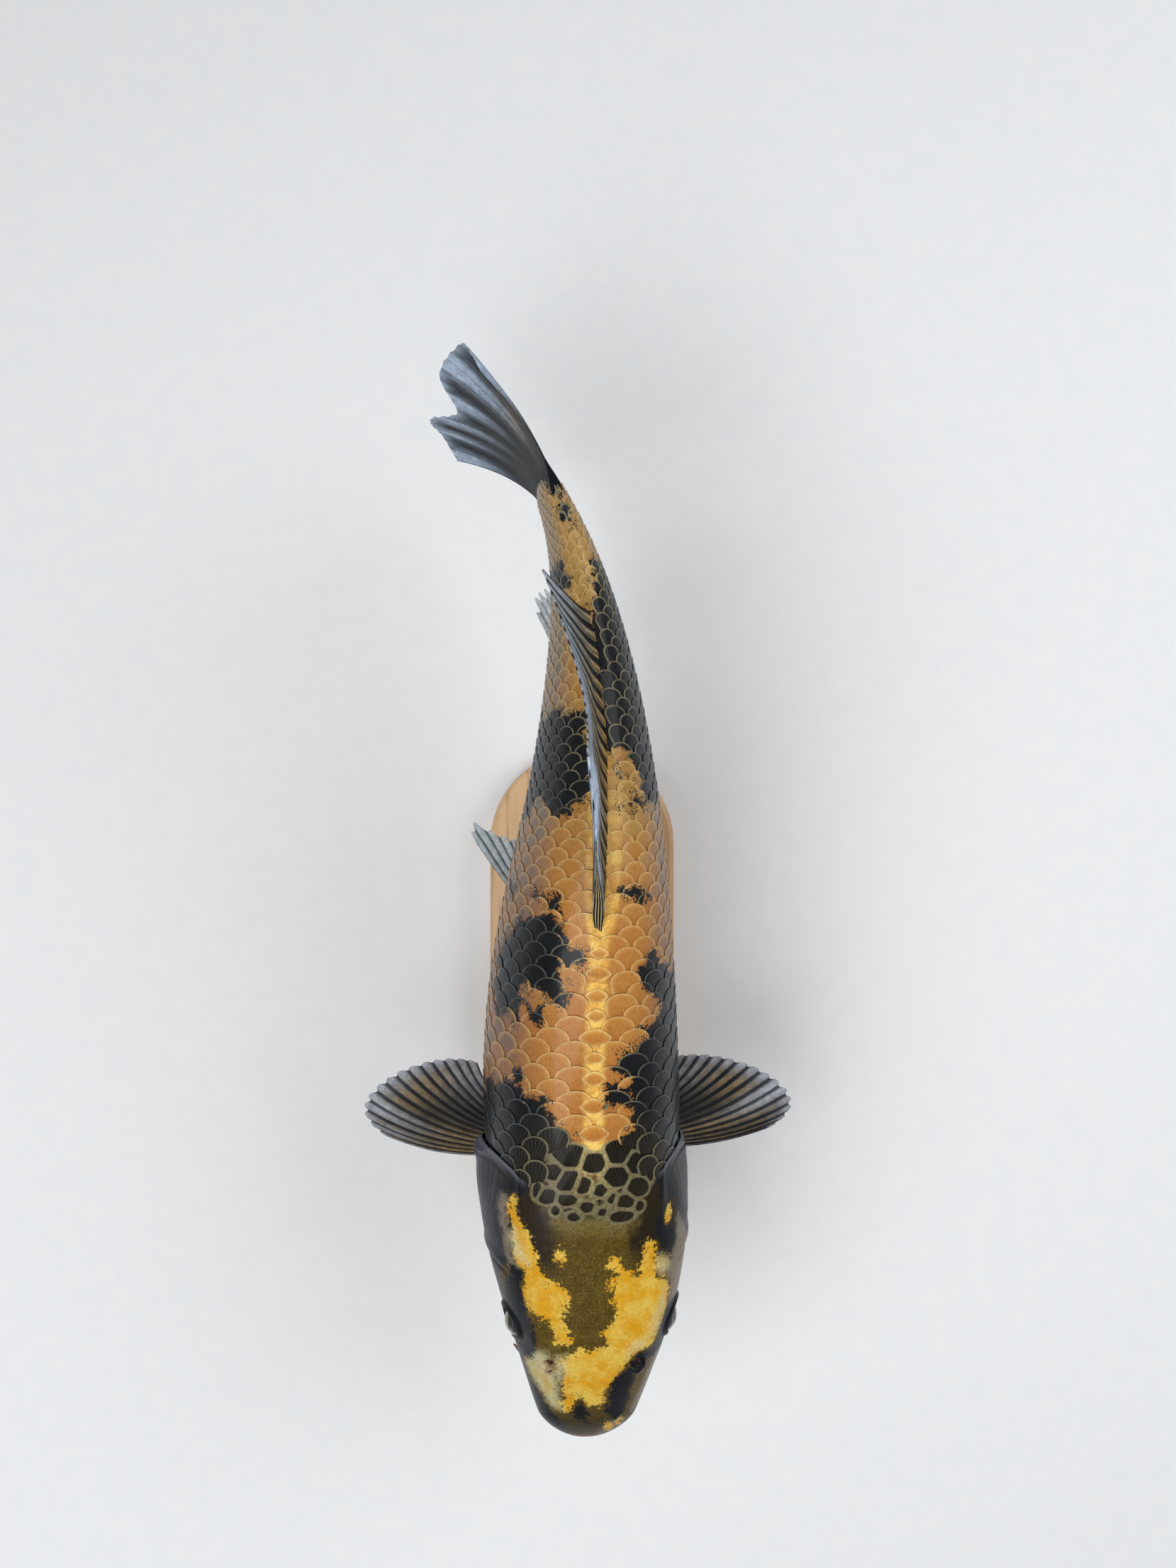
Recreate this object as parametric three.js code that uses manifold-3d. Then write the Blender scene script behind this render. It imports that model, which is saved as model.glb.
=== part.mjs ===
// A koi carp as a life-size still model on a plain display stand.
//
// Millimetres, +Z up. The origin is the middle of the stand's underside. The head
// points to -Y and the tail bends towards -X, as the fish turns.
//
// The body is shaped straight first, in fish coordinates: s runs back from the
// snout along the spine, e to the side (+X at the head) and z up from the spine.
// place() then bends it along the spine, banks it and lifts it over the stand.

import * as THREE from "three";
import { mergeVertices } from "three/addons/utils/BufferGeometryUtils.js";
import Module from "manifold-3d";

const wasm = await Module();
wasm.setup();

// Driving dimensions
const SPINE_HEIGHT = 130; // spine above the table
const SPINE_OVER_ORIGIN = 168; // this far behind the snout, the spine is over the origin
const BODY_LENGTH = 396; // snout to the end of the tail stem's flesh
const SNOUT_ROUNDING = 13; // length of the rounded snout
const STEM_ROUNDING = 10; // length of the rounded end of the tail stem
const BANK = 6; // degrees that the back leans towards +X
const TOTAL_LENGTH = 452;
const GAP = 0.3; // clearance between touching pieces
const SECTION_SIDES = 32;

// The gill openings lie on a drum across the head, squarer above its middle than below.
const GILL_LINE = { s: 40, z: -4, length: 86, upper: 52, upperPower: 4, lower: 59, lowerPower: 2.2 };
const GILL_DRUM = { width: 240, sides: 48 };
const GILL_COVER = { s: 104, e: 66, z: -4, length: 34, depth: 36, height: 37, columns: 24, rows: 18 };
const JAW = { lip: -13.5, slope: 0.28, length: 21, front: -10, width: 120, bottom: -80, steps: 8 };
const TRUNK_CUT = 226; // front and rear trunk meet here, under the dorsal fin
const STEM_CUT = 332; // trunk and tail stem meet here, behind the anal fin

const CUT_SIZE = 160; // side of the slab that parts the trunk
const FIN_ROOT = 4; // depth of the fins' roots in the flesh

const EYE = { s: 54.5, e: 29.5, z: 8, length: 6.6, depth: 5.2, height: 6.4, columns: 16, rows: 12 };
const BARBEL = { sides: 8, rows: 6, tip: 0.45, slant: 0.4 };

const STAND = { length: 232, width: 88, height: 14, edge: 2 };
const ROD = { radius: 3.5, footRadius: 8, footHeight: 3, footEdge: 1 };
const SADDLE = { radius: 8, depth: 6, edge: 2, rise: 10 };
const SUPPORTS = { front: 128, rear: 236 }; // distance of the rods behind the snout
const TURNED_SIDES = 20;

// Body outlines, as [distance behind the snout, value]
const headHalfWidth = through([
  [0, 15.5], [15, 21.4], [32, 27], [50, 32.6], [67, 37], [84, 40.4], [100, 42.2], [126, 43], [140, 43.2],
]);
const trunkHalfWidth = through([
  [60, 30], [90, 37.5], [120, 39], [150, 39.7], [190, 37.4], [230, 32.4], [270, 25.6], [310, 18.8],
  [345, 12.6], [372, 8], [396, 4.4],
]);
const backLine = through([
  [0, 2], [14, 9], [30, 18], [50, 27.5], [70, 34], [90, 39], [120, 45.5], [155, 51], [205, 55], [250, 51.5],
  [300, 38.5], [340, 28], [370, 23.6], [396, 24.5],
]);
const bellyLine = through([
  [0, -14], [14, -22], [30, -28.5], [60, -37], [90, -43], [120, -47.5], [160, -52], [200, -53], [240, -50],
  [285, -41], [315, -32], [345, -25.5], [370, -23.4], [396, -24.5],
]);
const widestLevel = through([[0, -8], [30, -6], [60, -3], [100, -2], [200, -2], [396, 0]]);
const sectionPower = through([[0, 2.3], [60, 2.55], [110, 2.35], [180, 2.15], [396, 2]]);

// Smooth curve through points in order of their first number, level beyond both ends.
function through(points) {
  const slope = points.map((point, i) => {
    const before = points[Math.max(i - 1, 0)];
    const after = points[Math.min(i + 1, points.length - 1)];
    return (after[1] - before[1]) / (after[0] - before[0]);
  });
  return (x) => {
    if (x <= points[0][0]) return points[0][1];
    const i = points.findIndex((point) => point[0] >= x);
    if (i < 0) return points[points.length - 1][1];
    const [x0, y0] = points[i - 1];
    const [x1, y1] = points[i];
    const width = x1 - x0;
    const t = (x - x0) / width;
    const rise = y0 + (y1 - y0) * t * t * (3 - 2 * t);
    return rise + width * t * (1 - t) * (slope[i - 1] * (1 - t) - slope[i] * t);
  };
}

const radians = (degrees) => THREE.MathUtils.degToRad(degrees);
const mix = (from, to, share) => from + (to - from) * share;
const raised = (value, power) => Math.sign(value) * Math.abs(value) ** power;

// Degrees by which the spine points towards -X: a slight S, then the tail's bend.
const heading = through([
  [0, -0.4], [45, -0.4], [72, 2.4], [95, 3.6], [118, 1.8], [140, 0.9], [170, -1], [205, -3.2], [238, -3.6],
  [270, -0.9], [300, 2.3], [330, 6.7], [360, 14.4], [385, 24], [400, 25], [452, 25],
]);

// The spine in plan, one point for each millimetre.
const spine = [[0, 0]];
for (let s = 0; s < TOTAL_LENGTH + 20; s += 1) {
  const [x, y] = spine[s];
  const turn = radians(heading(s + 0.5));
  spine.push([x - Math.sin(turn), y + Math.cos(turn)]);
}

function place(s, e, z) {
  const along = THREE.MathUtils.clamp(s, 0, TOTAL_LENGTH + 19);
  const step = Math.floor(along);
  const [x0, y0] = spine[step];
  const [x1, y1] = spine[step + 1];
  const turn = radians(heading(along));
  const bank = radians(BANK);
  const side = e * Math.cos(bank) + z * Math.sin(bank);
  const rise = z * Math.cos(bank) - e * Math.sin(bank);
  const beyond = s - along; // only in front of the snout
  const x = mix(x0, x1, along - step) + side * Math.cos(turn) - beyond * Math.sin(turn);
  const y = mix(y0, y1, along - step) + side * Math.sin(turn) + beyond * Math.cos(turn);
  const [middleX, middleY] = spine[SPINE_OVER_ORIGIN];
  return new THREE.Vector3(x - middleX, y - middleY, SPINE_HEIGHT + rise);
}

// A point of the flesh, angle 0 at the back and 180 degrees at the belly.
function fleshPoint(halfWidth, s, angle, grown = 0) {
  const snout = Math.sqrt(1 - (1 - Math.min(s / SNOUT_ROUNDING, 1)) ** 2);
  const stem = Math.sqrt(1 - (1 - Math.min((BODY_LENGTH - s) / STEM_ROUNDING, 1)) ** 2);
  const round = snout * stem;
  const power = 2 / sectionPower(s);
  const across = raised(Math.sin(angle), power);
  const up = raised(Math.cos(angle), power);
  const middle = widestLevel(s);
  const height = up > 0 ? backLine(s) - middle : middle - bellyLine(s);
  return place(s, across * (halfWidth(s) * round + grown), middle + up * (height * round + grown));
}

// Moves each corner of a geometry to where shape() puts it.
function reshape(geometry, shape) {
  const { position, uv } = geometry.attributes;
  for (let i = 0; i < position.count; i += 1) {
    const corner = new THREE.Vector3().fromBufferAttribute(position, i);
    const moved = shape(corner, uv.getX(i), uv.getY(i));
    position.setXYZ(i, moved.x, moved.y, moved.z);
  }
  return geometry;
}

function solidOf(geometry) {
  const bare = geometry.clone();
  bare.deleteAttribute("normal");
  bare.deleteAttribute("uv");
  const merged = mergeVertices(bare, 1e-3);
  const triVerts = new Uint32Array(merged.index.array);
  const vertProperties = merged.attributes.position.array;
  const make = () => new wasm.Manifold(new wasm.Mesh({ numProp: 3, vertProperties, triVerts }));
  const made = make();
  if (made.volume() > 0) return made;
  for (let i = 0; i < triVerts.length; i += 3) {
    [triVerts[i + 1], triVerts[i + 2]] = [triVerts[i + 2], triVerts[i + 1]];
  }
  return make();
}

const largestOf = (solid) => solid.decompose().sort((a, b) => b.volume() - a.volume())[0];

const headForm = { halfWidth: headHalfWidth, from: 0, to: 140, rings: 20 };
const trunkForm = { halfWidth: trunkHalfWidth, from: 60, to: BODY_LENGTH, rings: 30 };

// Body loft between two distances from the snout. A sphere's rings become the body's
// sections, drawn together towards both ends.
function bodyLoft(form, grown = 0) {
  const endDensity = 0.7;
  const ball = new THREE.SphereGeometry(1, SECTION_SIDES, form.rings);
  return solidOf(
    reshape(ball, (corner, around, ahead) => {
      const back = 1 - ahead;
      const drawn = (1 - Math.cos(Math.PI * back)) / 2;
      const s = mix(form.from, form.to, mix(back, drawn, endDensity));
      if (ahead === 0 || ahead === 1) return place(s, 0, widestLevel(s));
      return fleshPoint(form.halfWidth, s, around * 2 * Math.PI, grown);
    }),
  );
}

function gillRegion(grown) {
  const drum = new THREE.CylinderGeometry(1, 1, GILL_DRUM.width, GILL_DRUM.sides);
  return solidOf(
    reshape(drum, ({ x, y, z }) => {
      const height = z > 0 ? GILL_LINE.upper : GILL_LINE.lower;
      const power = 2 / (z > 0 ? GILL_LINE.upperPower : GILL_LINE.lowerPower);
      const s = GILL_LINE.s + raised(x, power) * (GILL_LINE.length + grown);
      return place(s, y, GILL_LINE.z + raised(z, power) * (height + grown));
    }),
  );
}

function ellipsoid(form, side, grown) {
  const ball = new THREE.SphereGeometry(1, form.columns, form.rows);
  return solidOf(
    reshape(ball, ({ x, y, z }) =>
      place(
        form.s + x * (form.length + grown),
        side * form.e + z * (form.depth + grown),
        form.z + y * (form.height + grown),
      ),
    ),
  );
}

// A thin slab across the spine, which parts the body there.
function crossCut(s) {
  const slab = new THREE.BoxGeometry(GAP, CUT_SIZE, CUT_SIZE);
  return solidOf(reshape(slab, ({ x, y, z }) => {
    const middle = place(s, 0, 0);
    const turn = radians(heading(s));
    return new THREE.Vector3(
      middle.x - x * Math.sin(turn) + y * Math.cos(turn),
      middle.y + x * Math.cos(turn) + y * Math.sin(turn),
      middle.z + z,
    );
  }));
}

// Fins. Each is a fan of rays: k runs from the leading ray to the last, t along a ray.
const sideNames = { [-1]: "right", 1: "left" };

const dorsalFin = {
  root: (k) => [mix(209, 333, k), 0, backLine(mix(209, 333, k)) - FIN_ROOT],
  lean: through([[0, -14], [0.1, -18], [0.5, -24], [0.75, -34], [1, -52]]),
  out: 1,
  fan: [57, 38],
  curl: 8,
  reach: through([[0, 44], [0.04, 57], [0.1, 65], [0.2, 60], [0.35, 50], [0.5, 44], [0.75, 38], [1, 31]]),
  thickness: [4.4, 0.7],
  cells: [22, 7],
};
const analFin = {
  root: (k) => [mix(300, 322, k), 0, bellyLine(mix(300, 322, k)) + FIN_ROOT],
  lean: (k) => mix(35, 24, k),
  out: -1,
  fan: [57, 74],
  curl: 6,
  reach: through([[0, 47], [0.12, 55], [0.3, 54], [0.5, 49], [0.75, 41], [1, 33]]),
  thickness: [2.4, 0.7],
  cells: [8, 7],
};
const caudalSway = through([
  [0, -11], [0.12, -14], [0.3, -23], [0.5, -20], [0.7, -28.5], [0.88, -25], [1, -23],
]);
const caudalFin = {
  root: (k) => [384 + 3 * Math.sin(Math.PI * k), 0, mix(22, -22, k)],
  lean: () => 0,
  out: 1,
  fan: [60, 120],
  curl: 0,
  reach: through([
    [0, 56], [0.05, 65], [0.12, 67], [0.3, 60], [0.5, 47], [0.7, 56], [0.88, 56], [0.96, 53], [1, 49],
  ]),
  sway: (k, t) => caudalSway(k) * t ** 2.1,
  thickness: [4.6, 0.7],
  cells: [12, 8],
};
const pectoralFin = (side, fan, growth) => ({
  root: (k) => [mix(114, 128, k), side * mix(29, 26, k), mix(-27, -33, k)],
  lean: () => side * 97,
  out: 1,
  fan,
  curl: 30,
  reach: through([
    [0, 54 * growth], [0.07, 62 * growth], [0.15, 65.5 * growth], [0.25, 64 * growth], [0.4, 58 * growth],
    [0.6, 48 * growth], [0.8, 38 * growth], [1, 28 * growth],
  ]),
  thickness: [4, 0.7],
  cells: [14, 7],
});
const pelvicFin = (side, fan, spread) => ({
  root: (k) => [mix(203, 212, k), side * mix(13, 9, k), mix(-47, -49, k)],
  lean: () => side * (90 + spread),
  out: 1,
  fan,
  curl: 6,
  reach: through([[0, 52], [0.12, 58], [0.3, 48], [0.5, 40], [0.75, 33], [1, 27]]),
  thickness: [3, 0.7],
  cells: [8, 7],
});

function finPoint(fin, k, t) {
  const [s, e, z] = fin.root(k);
  const reach = fin.reach(k) * t;
  const angle = radians(mix(fin.fan[0], fin.fan[1], k) + (fin.curl * t) / 2);
  const lean = radians(fin.lean(k));
  const out = fin.out * reach * Math.cos(angle);
  const sway = fin.sway ? fin.sway(k, t) : 0;
  return place(s + reach * Math.sin(angle), e + out * Math.sin(lean) + sway, z + out * Math.cos(lean));
}

// The fin as a thin closed sheet, clear of the body that it grows from.
function finSolid(fin, body) {
  const [columns, rows] = fin.cells;
  const sheet = new THREE.BoxGeometry(1, 1, 1, columns, rows, 1);
  const small = 1e-3;
  const solid = solidOf(
    reshape(sheet, ({ x, y, z }) => {
      const k = THREE.MathUtils.clamp(x + 0.5, small, 1 - small);
      const t = THREE.MathUtils.clamp(y + 0.5, small, 1 - small);
      const across = finPoint(fin, k + small, t).sub(finPoint(fin, k - small, t));
      const along = finPoint(fin, k, t + small).sub(finPoint(fin, k, t - small));
      const normal = across.cross(along).normalize();
      const thickness = mix(fin.thickness[0], fin.thickness[1], Math.sqrt(t));
      return finPoint(fin, k, t).addScaledVector(normal, z * thickness);
    }),
  );
  return largestOf(solid.subtract(body));
}

// Barbels: short tapered feelers beside the mouth.
function barbelSolid(start, end, droop, thickness) {
  const stalk = new THREE.CylinderGeometry(1, 1, 1, BARBEL.sides, BARBEL.rows);
  return solidOf(
    reshape(stalk, ({ x, y, z }) => {
      const t = y + 0.5;
      const radius = (thickness / 2) * mix(1, BARBEL.tip, t);
      const at = start.map((value, i) => mix(value, end[i], t));
      const sag = droop * 4 * t * (1 - t);
      return place(at[0] + x * radius, at[1] + z * radius, at[2] - sag + x * radius * BARBEL.slant);
    }),
  );
}

const material = {
  flesh: new THREE.MeshStandardMaterial({ color: 0xc58a3f, roughness: 0.35, metalness: 0 }),
  headSkin: new THREE.MeshStandardMaterial({ color: 0x8a6f2c, roughness: 0.3, metalness: 0 }),
  gillSkin: new THREE.MeshStandardMaterial({ color: 0x3b4148, roughness: 0.3, metalness: 0 }),
  eye: new THREE.MeshStandardMaterial({ color: 0x14110c, roughness: 0.05, metalness: 0 }),
  fin: new THREE.MeshStandardMaterial({ color: 0x77777a, roughness: 0.4, metalness: 0 }),
  barbel: new THREE.MeshStandardMaterial({ color: 0xb98a62, roughness: 0.4, metalness: 0 }),
  wood: new THREE.MeshStandardMaterial({ color: 0xc8a67c, roughness: 0.55, metalness: 0 }),
  steel: new THREE.MeshStandardMaterial({ color: 0xb9bcc0, roughness: 0.3, metalness: 1 }),
};

const koi = new THREE.Group();

function addSolid(name, solid, finish) {
  const { numProp, numVert, vertProperties, triVerts } = solid.getMesh();
  const corners = new Float32Array(numVert * 3);
  for (let i = 0; i < numVert; i += 1) {
    corners.set(vertProperties.subarray(i * numProp, i * numProp + 3), i * 3);
  }
  const geometry = new THREE.BufferGeometry();
  geometry.setAttribute("position", new THREE.BufferAttribute(corners, 3));
  geometry.setIndex(new THREE.BufferAttribute(new Uint32Array(triVerts), 1));
  geometry.computeVertexNormals();
  const mesh = new THREE.Mesh(geometry, finish);
  mesh.name = name;
  koi.add(mesh);
}

// Flesh
const grownBody = bodyLoft(headForm, GAP).intersect(gillRegion(GAP)).add(bodyLoft(trunkForm, GAP));

// The lower jaw hangs under a mouth line that runs back and down from the lips.
function jawRegion(grown) {
  const block = new THREE.BoxGeometry(1, 1, 1, 1, JAW.steps, 1);
  return solidOf(
    reshape(block, ({ x, y, z }) => {
      const s = mix(JAW.front, JAW.length + grown, y + 0.5);
      const mouth = JAW.lip - JAW.slope * Math.max(s, 0) + grown;
      return place(s, x * JAW.width, z > 0 ? mouth : JAW.bottom);
    }),
  );
}

let head = bodyLoft(headForm).intersect(gillRegion(0));
addSolid("lower_jaw", largestOf(head.intersect(jawRegion(0))), material.headSkin);
head = head.subtract(jawRegion(GAP));
for (const side of [-1, 1]) {
  const cover = head.intersect(ellipsoid(GILL_COVER, side, 0));
  head = head.subtract(ellipsoid(GILL_COVER, side, GAP)).subtract(ellipsoid(EYE, side, GAP));
  addSolid(`gill_cover_${sideNames[side]}`, largestOf(cover), material.gillSkin);
  addSolid(`eye_${sideNames[side]}`, ellipsoid(EYE, side, 0), material.eye);
}
addSolid("head", largestOf(head), material.headSkin);

const trunk = [gillRegion(GAP), crossCut(TRUNK_CUT), crossCut(STEM_CUT)].reduce(
  (rest, cut) => rest.subtract(cut),
  bodyLoft(trunkForm),
);
const lengths = trunk.decompose().sort((a, b) => a.boundingBox().min[1] - b.boundingBox().min[1]);
["trunk_front", "trunk_rear", "tail_stem"].forEach((name, i) => addSolid(name, lengths[i], material.flesh));

// Barbels, a short pair on the upper lip and a longer pair at the mouth's corners
const mouthPairs = {
  barbel_front: { root: [13, 14, -12], tip: [19, 21.5, -18], droop: 0.5, thickness: 1.5 },
  barbel_rear: { root: [21, 18.5, -16], tip: [32, 29, -27], droop: 0.8, thickness: 2.2 },
};
for (const [name, { root, tip, droop, thickness }] of Object.entries(mouthPairs)) {
  for (const side of [-1, 1]) {
    const mirrored = ([s, e, z]) => [s, side * e, z];
    const barbel = barbelSolid(mirrored(root), mirrored(tip), droop, thickness);
    addSolid(`${name}_${sideNames[side]}`, largestOf(barbel.subtract(grownBody)), material.barbel);
  }
}

// Fins
addSolid("dorsal_fin", finSolid(dorsalFin, grownBody), material.fin);
addSolid("anal_fin", finSolid(analFin, grownBody), material.fin);
for (const [name, from, to] of [["caudal_fin_upper", 0, 0.497], ["caudal_fin_lower", 0.503, 1]]) {
  const lobe = {
    ...caudalFin,
    root: (k) => caudalFin.root(mix(from, to, k)),
    fan: [mix(...caudalFin.fan, from), mix(...caudalFin.fan, to)],
    reach: (k) => caudalFin.reach(mix(from, to, k)),
    sway: (k, t) => caudalFin.sway(mix(from, to, k), t),
  };
  addSolid(name, finSolid(lobe, grownBody), material.fin);
}
addSolid("pectoral_fin_right", finSolid(pectoralFin(-1, [-6, 41], 0.965), grownBody), material.fin);
addSolid("pectoral_fin_left", finSolid(pectoralFin(1, [-12, 35], 1.05), grownBody), material.fin);
addSolid("pelvic_fin_right", finSolid(pelvicFin(-1, [44, 72], 23), grownBody), material.fin);
addSolid("pelvic_fin_left", finSolid(pelvicFin(1, [60, 84], 46), grownBody), material.fin);

// Display stand: an oblong base and two rods with saddles that follow the belly
function standBase() {
  const end = STAND.width / 2 - STAND.edge;
  const straight = (STAND.length - STAND.width) / 2;
  const outline = new THREE.Shape();
  outline.absarc(0, straight, end, 0, Math.PI);
  outline.absarc(0, -straight, end, Math.PI, 2 * Math.PI);
  const block = new THREE.ExtrudeGeometry(outline, {
    depth: STAND.height - 2 * STAND.edge,
    bevelThickness: STAND.edge,
    bevelSize: STAND.edge,
    bevelSegments: 2,
    curveSegments: 12,
  });
  return solidOf(block.translate(0, 0, STAND.edge));
}

function turned(profile, x, y) {
  const lathe = new THREE.LatheGeometry(profile.map(([r, h]) => new THREE.Vector2(r, h)), TURNED_SIDES);
  return solidOf(lathe.rotateX(Math.PI / 2).translate(x, y, 0));
}

addSolid("stand_base", standBase(), material.wood);
const loweredBody = grownBody.translate([0, 0, -GAP]);
for (const [where, s] of Object.entries(SUPPORTS)) {
  const belly = place(s, 0, bellyLine(s));
  const foot = STAND.height + GAP;
  const footTop = foot + ROD.footHeight;
  const saddleFoot = belly.z - SADDLE.depth;
  const saddleTop = belly.z + SADDLE.rise;
  const rodOutline = [
    [0, foot],
    [ROD.footRadius, foot],
    [ROD.footRadius, footTop - ROD.footEdge],
    [ROD.footRadius - ROD.footEdge, footTop],
    [ROD.radius, footTop],
    [ROD.radius, saddleFoot - GAP],
    [0, saddleFoot - GAP],
  ];
  const saddleOutline = [
    [0, saddleFoot],
    [SADDLE.radius - SADDLE.edge, saddleFoot],
    [SADDLE.radius, saddleFoot + SADDLE.edge],
    [SADDLE.radius, saddleTop],
    [0, saddleTop],
  ];
  const rod = turned(rodOutline, belly.x, belly.y);
  const saddle = turned(saddleOutline, belly.x, belly.y);
  addSolid(`stand_rod_${where}`, rod, material.steel);
  addSolid(`stand_saddle_${where}`, largestOf(saddle.subtract(loweredBody)), material.steel);
}

export default koi;
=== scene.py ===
import math

import bpy
import numpy as np
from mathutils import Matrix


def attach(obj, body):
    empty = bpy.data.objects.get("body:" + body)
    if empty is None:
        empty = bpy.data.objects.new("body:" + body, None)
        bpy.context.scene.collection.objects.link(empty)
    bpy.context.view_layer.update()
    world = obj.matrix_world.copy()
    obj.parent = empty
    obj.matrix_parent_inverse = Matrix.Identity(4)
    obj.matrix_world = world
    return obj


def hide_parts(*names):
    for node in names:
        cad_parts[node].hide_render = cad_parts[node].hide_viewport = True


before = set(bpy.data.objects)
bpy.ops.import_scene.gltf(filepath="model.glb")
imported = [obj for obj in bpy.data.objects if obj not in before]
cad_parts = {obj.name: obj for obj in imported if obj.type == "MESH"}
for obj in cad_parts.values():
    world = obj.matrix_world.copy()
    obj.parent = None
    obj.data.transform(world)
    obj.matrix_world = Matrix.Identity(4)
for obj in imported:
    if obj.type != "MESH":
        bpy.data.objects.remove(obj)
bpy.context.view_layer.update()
bpy.ops.object.select_all(action="DESELECT")
print("frame loaded")

mm = 0.001

# The fish is shaped straight first, in millimetres: s runs back from the snout along
# the spine, e to the fish's left and z up from the spine. place() then bends it along
# the spine, banks it and lifts it over the stand.
body = {
    "spineHeight": 130,
    "overOrigin": 168,  # the spine is over the origin this far behind the snout
    "length": 396,
    "totalLength": 452,
    "snoutRounding": 13,
    "stemRounding": 10,
    "bank": 6,
    "coatDepth": 0.9,  # the trunk's skin lies this deep under the scales' tops
    "headDepth": 0.2,
}
gillLine = {  # the gill covers' rear edge, squarer above its middle than below
    "s": 40, "z": -4, "length": 86, "upper": 52, "upperPower": 4, "lower": 59, "lowerPower": 2.2,
}


# Smooth curve through points in order of their first number, level beyond both ends.
def through(points):
    xs, ys = np.array(points, float).T
    last = len(xs) - 1
    before = np.maximum(np.arange(last + 1) - 1, 0)
    after = np.minimum(np.arange(last + 1) + 1, last)
    slopes = (ys[after] - ys[before]) / (xs[after] - xs[before])

    def curve(x):
        held = np.clip(np.asarray(x, float), xs[0], xs[-1])
        i = np.clip(np.searchsorted(xs, held), 1, last)
        width = xs[i] - xs[i - 1]
        t = (held - xs[i - 1]) / width
        rise = ys[i - 1] + (ys[i] - ys[i - 1]) * t * t * (3 - 2 * t)
        return rise + width * t * (1 - t) * (slopes[i - 1] * (1 - t) - slopes[i] * t)

    return curve


headHalfWidth = through([
    [0, 15.5], [15, 21.4], [32, 27], [50, 32.6], [67, 37], [84, 40.4], [100, 42.2], [126, 43],
    [140, 43.2],
])
trunkHalfWidth = through([
    [60, 30], [90, 37.5], [120, 39], [150, 39.7], [190, 37.4], [230, 32.4], [270, 25.6],
    [310, 18.8], [345, 12.6], [372, 8], [396, 4.4],
])
backLine = through([
    [0, 2], [14, 9], [30, 18], [50, 27.5], [70, 34], [90, 39], [120, 45.5], [155, 51], [205, 55],
    [250, 51.5], [300, 38.5], [340, 28], [370, 23.6], [396, 24.5],
])
bellyLine = through([
    [0, -14], [14, -22], [30, -28.5], [60, -37], [90, -43], [120, -47.5], [160, -52], [200, -53],
    [240, -50], [285, -41], [315, -32], [345, -25.5], [370, -23.4], [396, -24.5],
])
widestLevel = through([[0, -8], [30, -6], [60, -3], [100, -2], [200, -2], [396, 0]])
sectionPower = through([[0, 2.3], [60, 2.55], [110, 2.35], [180, 2.15], [396, 2]])
heading = through([
    [0, -0.4], [45, -0.4], [72, 2.4], [95, 3.6], [118, 1.8], [140, 0.9], [170, -1], [205, -3.2],
    [238, -3.6], [270, -0.9], [300, 2.3], [330, 6.7], [360, 14.4], [385, 24], [400, 25], [452, 25],
])
spineSpare = 20
spineTurns = np.radians(heading(np.arange(body["totalLength"] + spineSpare) + 0.5))
spine = np.zeros((len(spineTurns) + 1, 2))
spine[1:, 0] = -np.cumsum(np.sin(spineTurns))
spine[1:, 1] = np.cumsum(np.cos(spineTurns))


def smooth(value, low, high):
    t = np.clip((value - low) / (high - low), 0, 1)
    return t * t * (3 - 2 * t)


def mix(start, end, share):
    return start + (end - start) * share


def bump(value, middle, width):
    return np.exp(-(((value - middle) / width) ** 2))


# Points in the model's frame, in metres, for fish coordinates in millimetres.
def place(s, e, z):
    s, e, z = np.broadcast_arrays(*[np.asarray(v, float) for v in (s, e, z)])
    along = np.clip(s, 0, body["totalLength"] + spineSpare - 1)
    whole = np.floor(along).astype(int)
    share = (along - whole)[..., None]
    middle = mix(spine[whole], spine[whole + 1], share) - spine[body["overOrigin"]]
    turn = np.radians(heading(along))
    bank = math.radians(body["bank"])
    side = e * math.cos(bank) + z * math.sin(bank)
    rise = z * math.cos(bank) - e * math.sin(bank)
    beyond = s - along  # only in front of the snout
    x = middle[..., 0] + side * np.cos(turn) - beyond * np.sin(turn)
    y = middle[..., 1] + side * np.sin(turn) + beyond * np.cos(turn)
    return np.stack([x, y, body["spineHeight"] + rise], -1) * mm


# Sideways and upward place of the flesh, angle 0 at the back and 180 degrees at the belly.
def section(s, angle, halfWidth):
    snout = np.sqrt(1 - (1 - np.minimum(s / body["snoutRounding"], 1)) ** 2)
    stem = np.sqrt(1 - (1 - np.minimum((body["length"] - s) / body["stemRounding"], 1)) ** 2)
    power = 2 / sectionPower(s)
    across = np.sign(np.sin(angle)) * np.abs(np.sin(angle)) ** power
    up = np.sign(np.cos(angle)) * np.abs(np.cos(angle)) ** power
    middle = widestLevel(s)
    height = np.where(up > 0, backLine(s) - middle, middle - bellyLine(s))
    return across * halfWidth(s) * snout * stem, middle + up * height * snout * stem


def meanHalfWidth(s):
    return mix(headHalfWidth(s), trunkHalfWidth(s), smooth(s, 95, 107))


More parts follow.
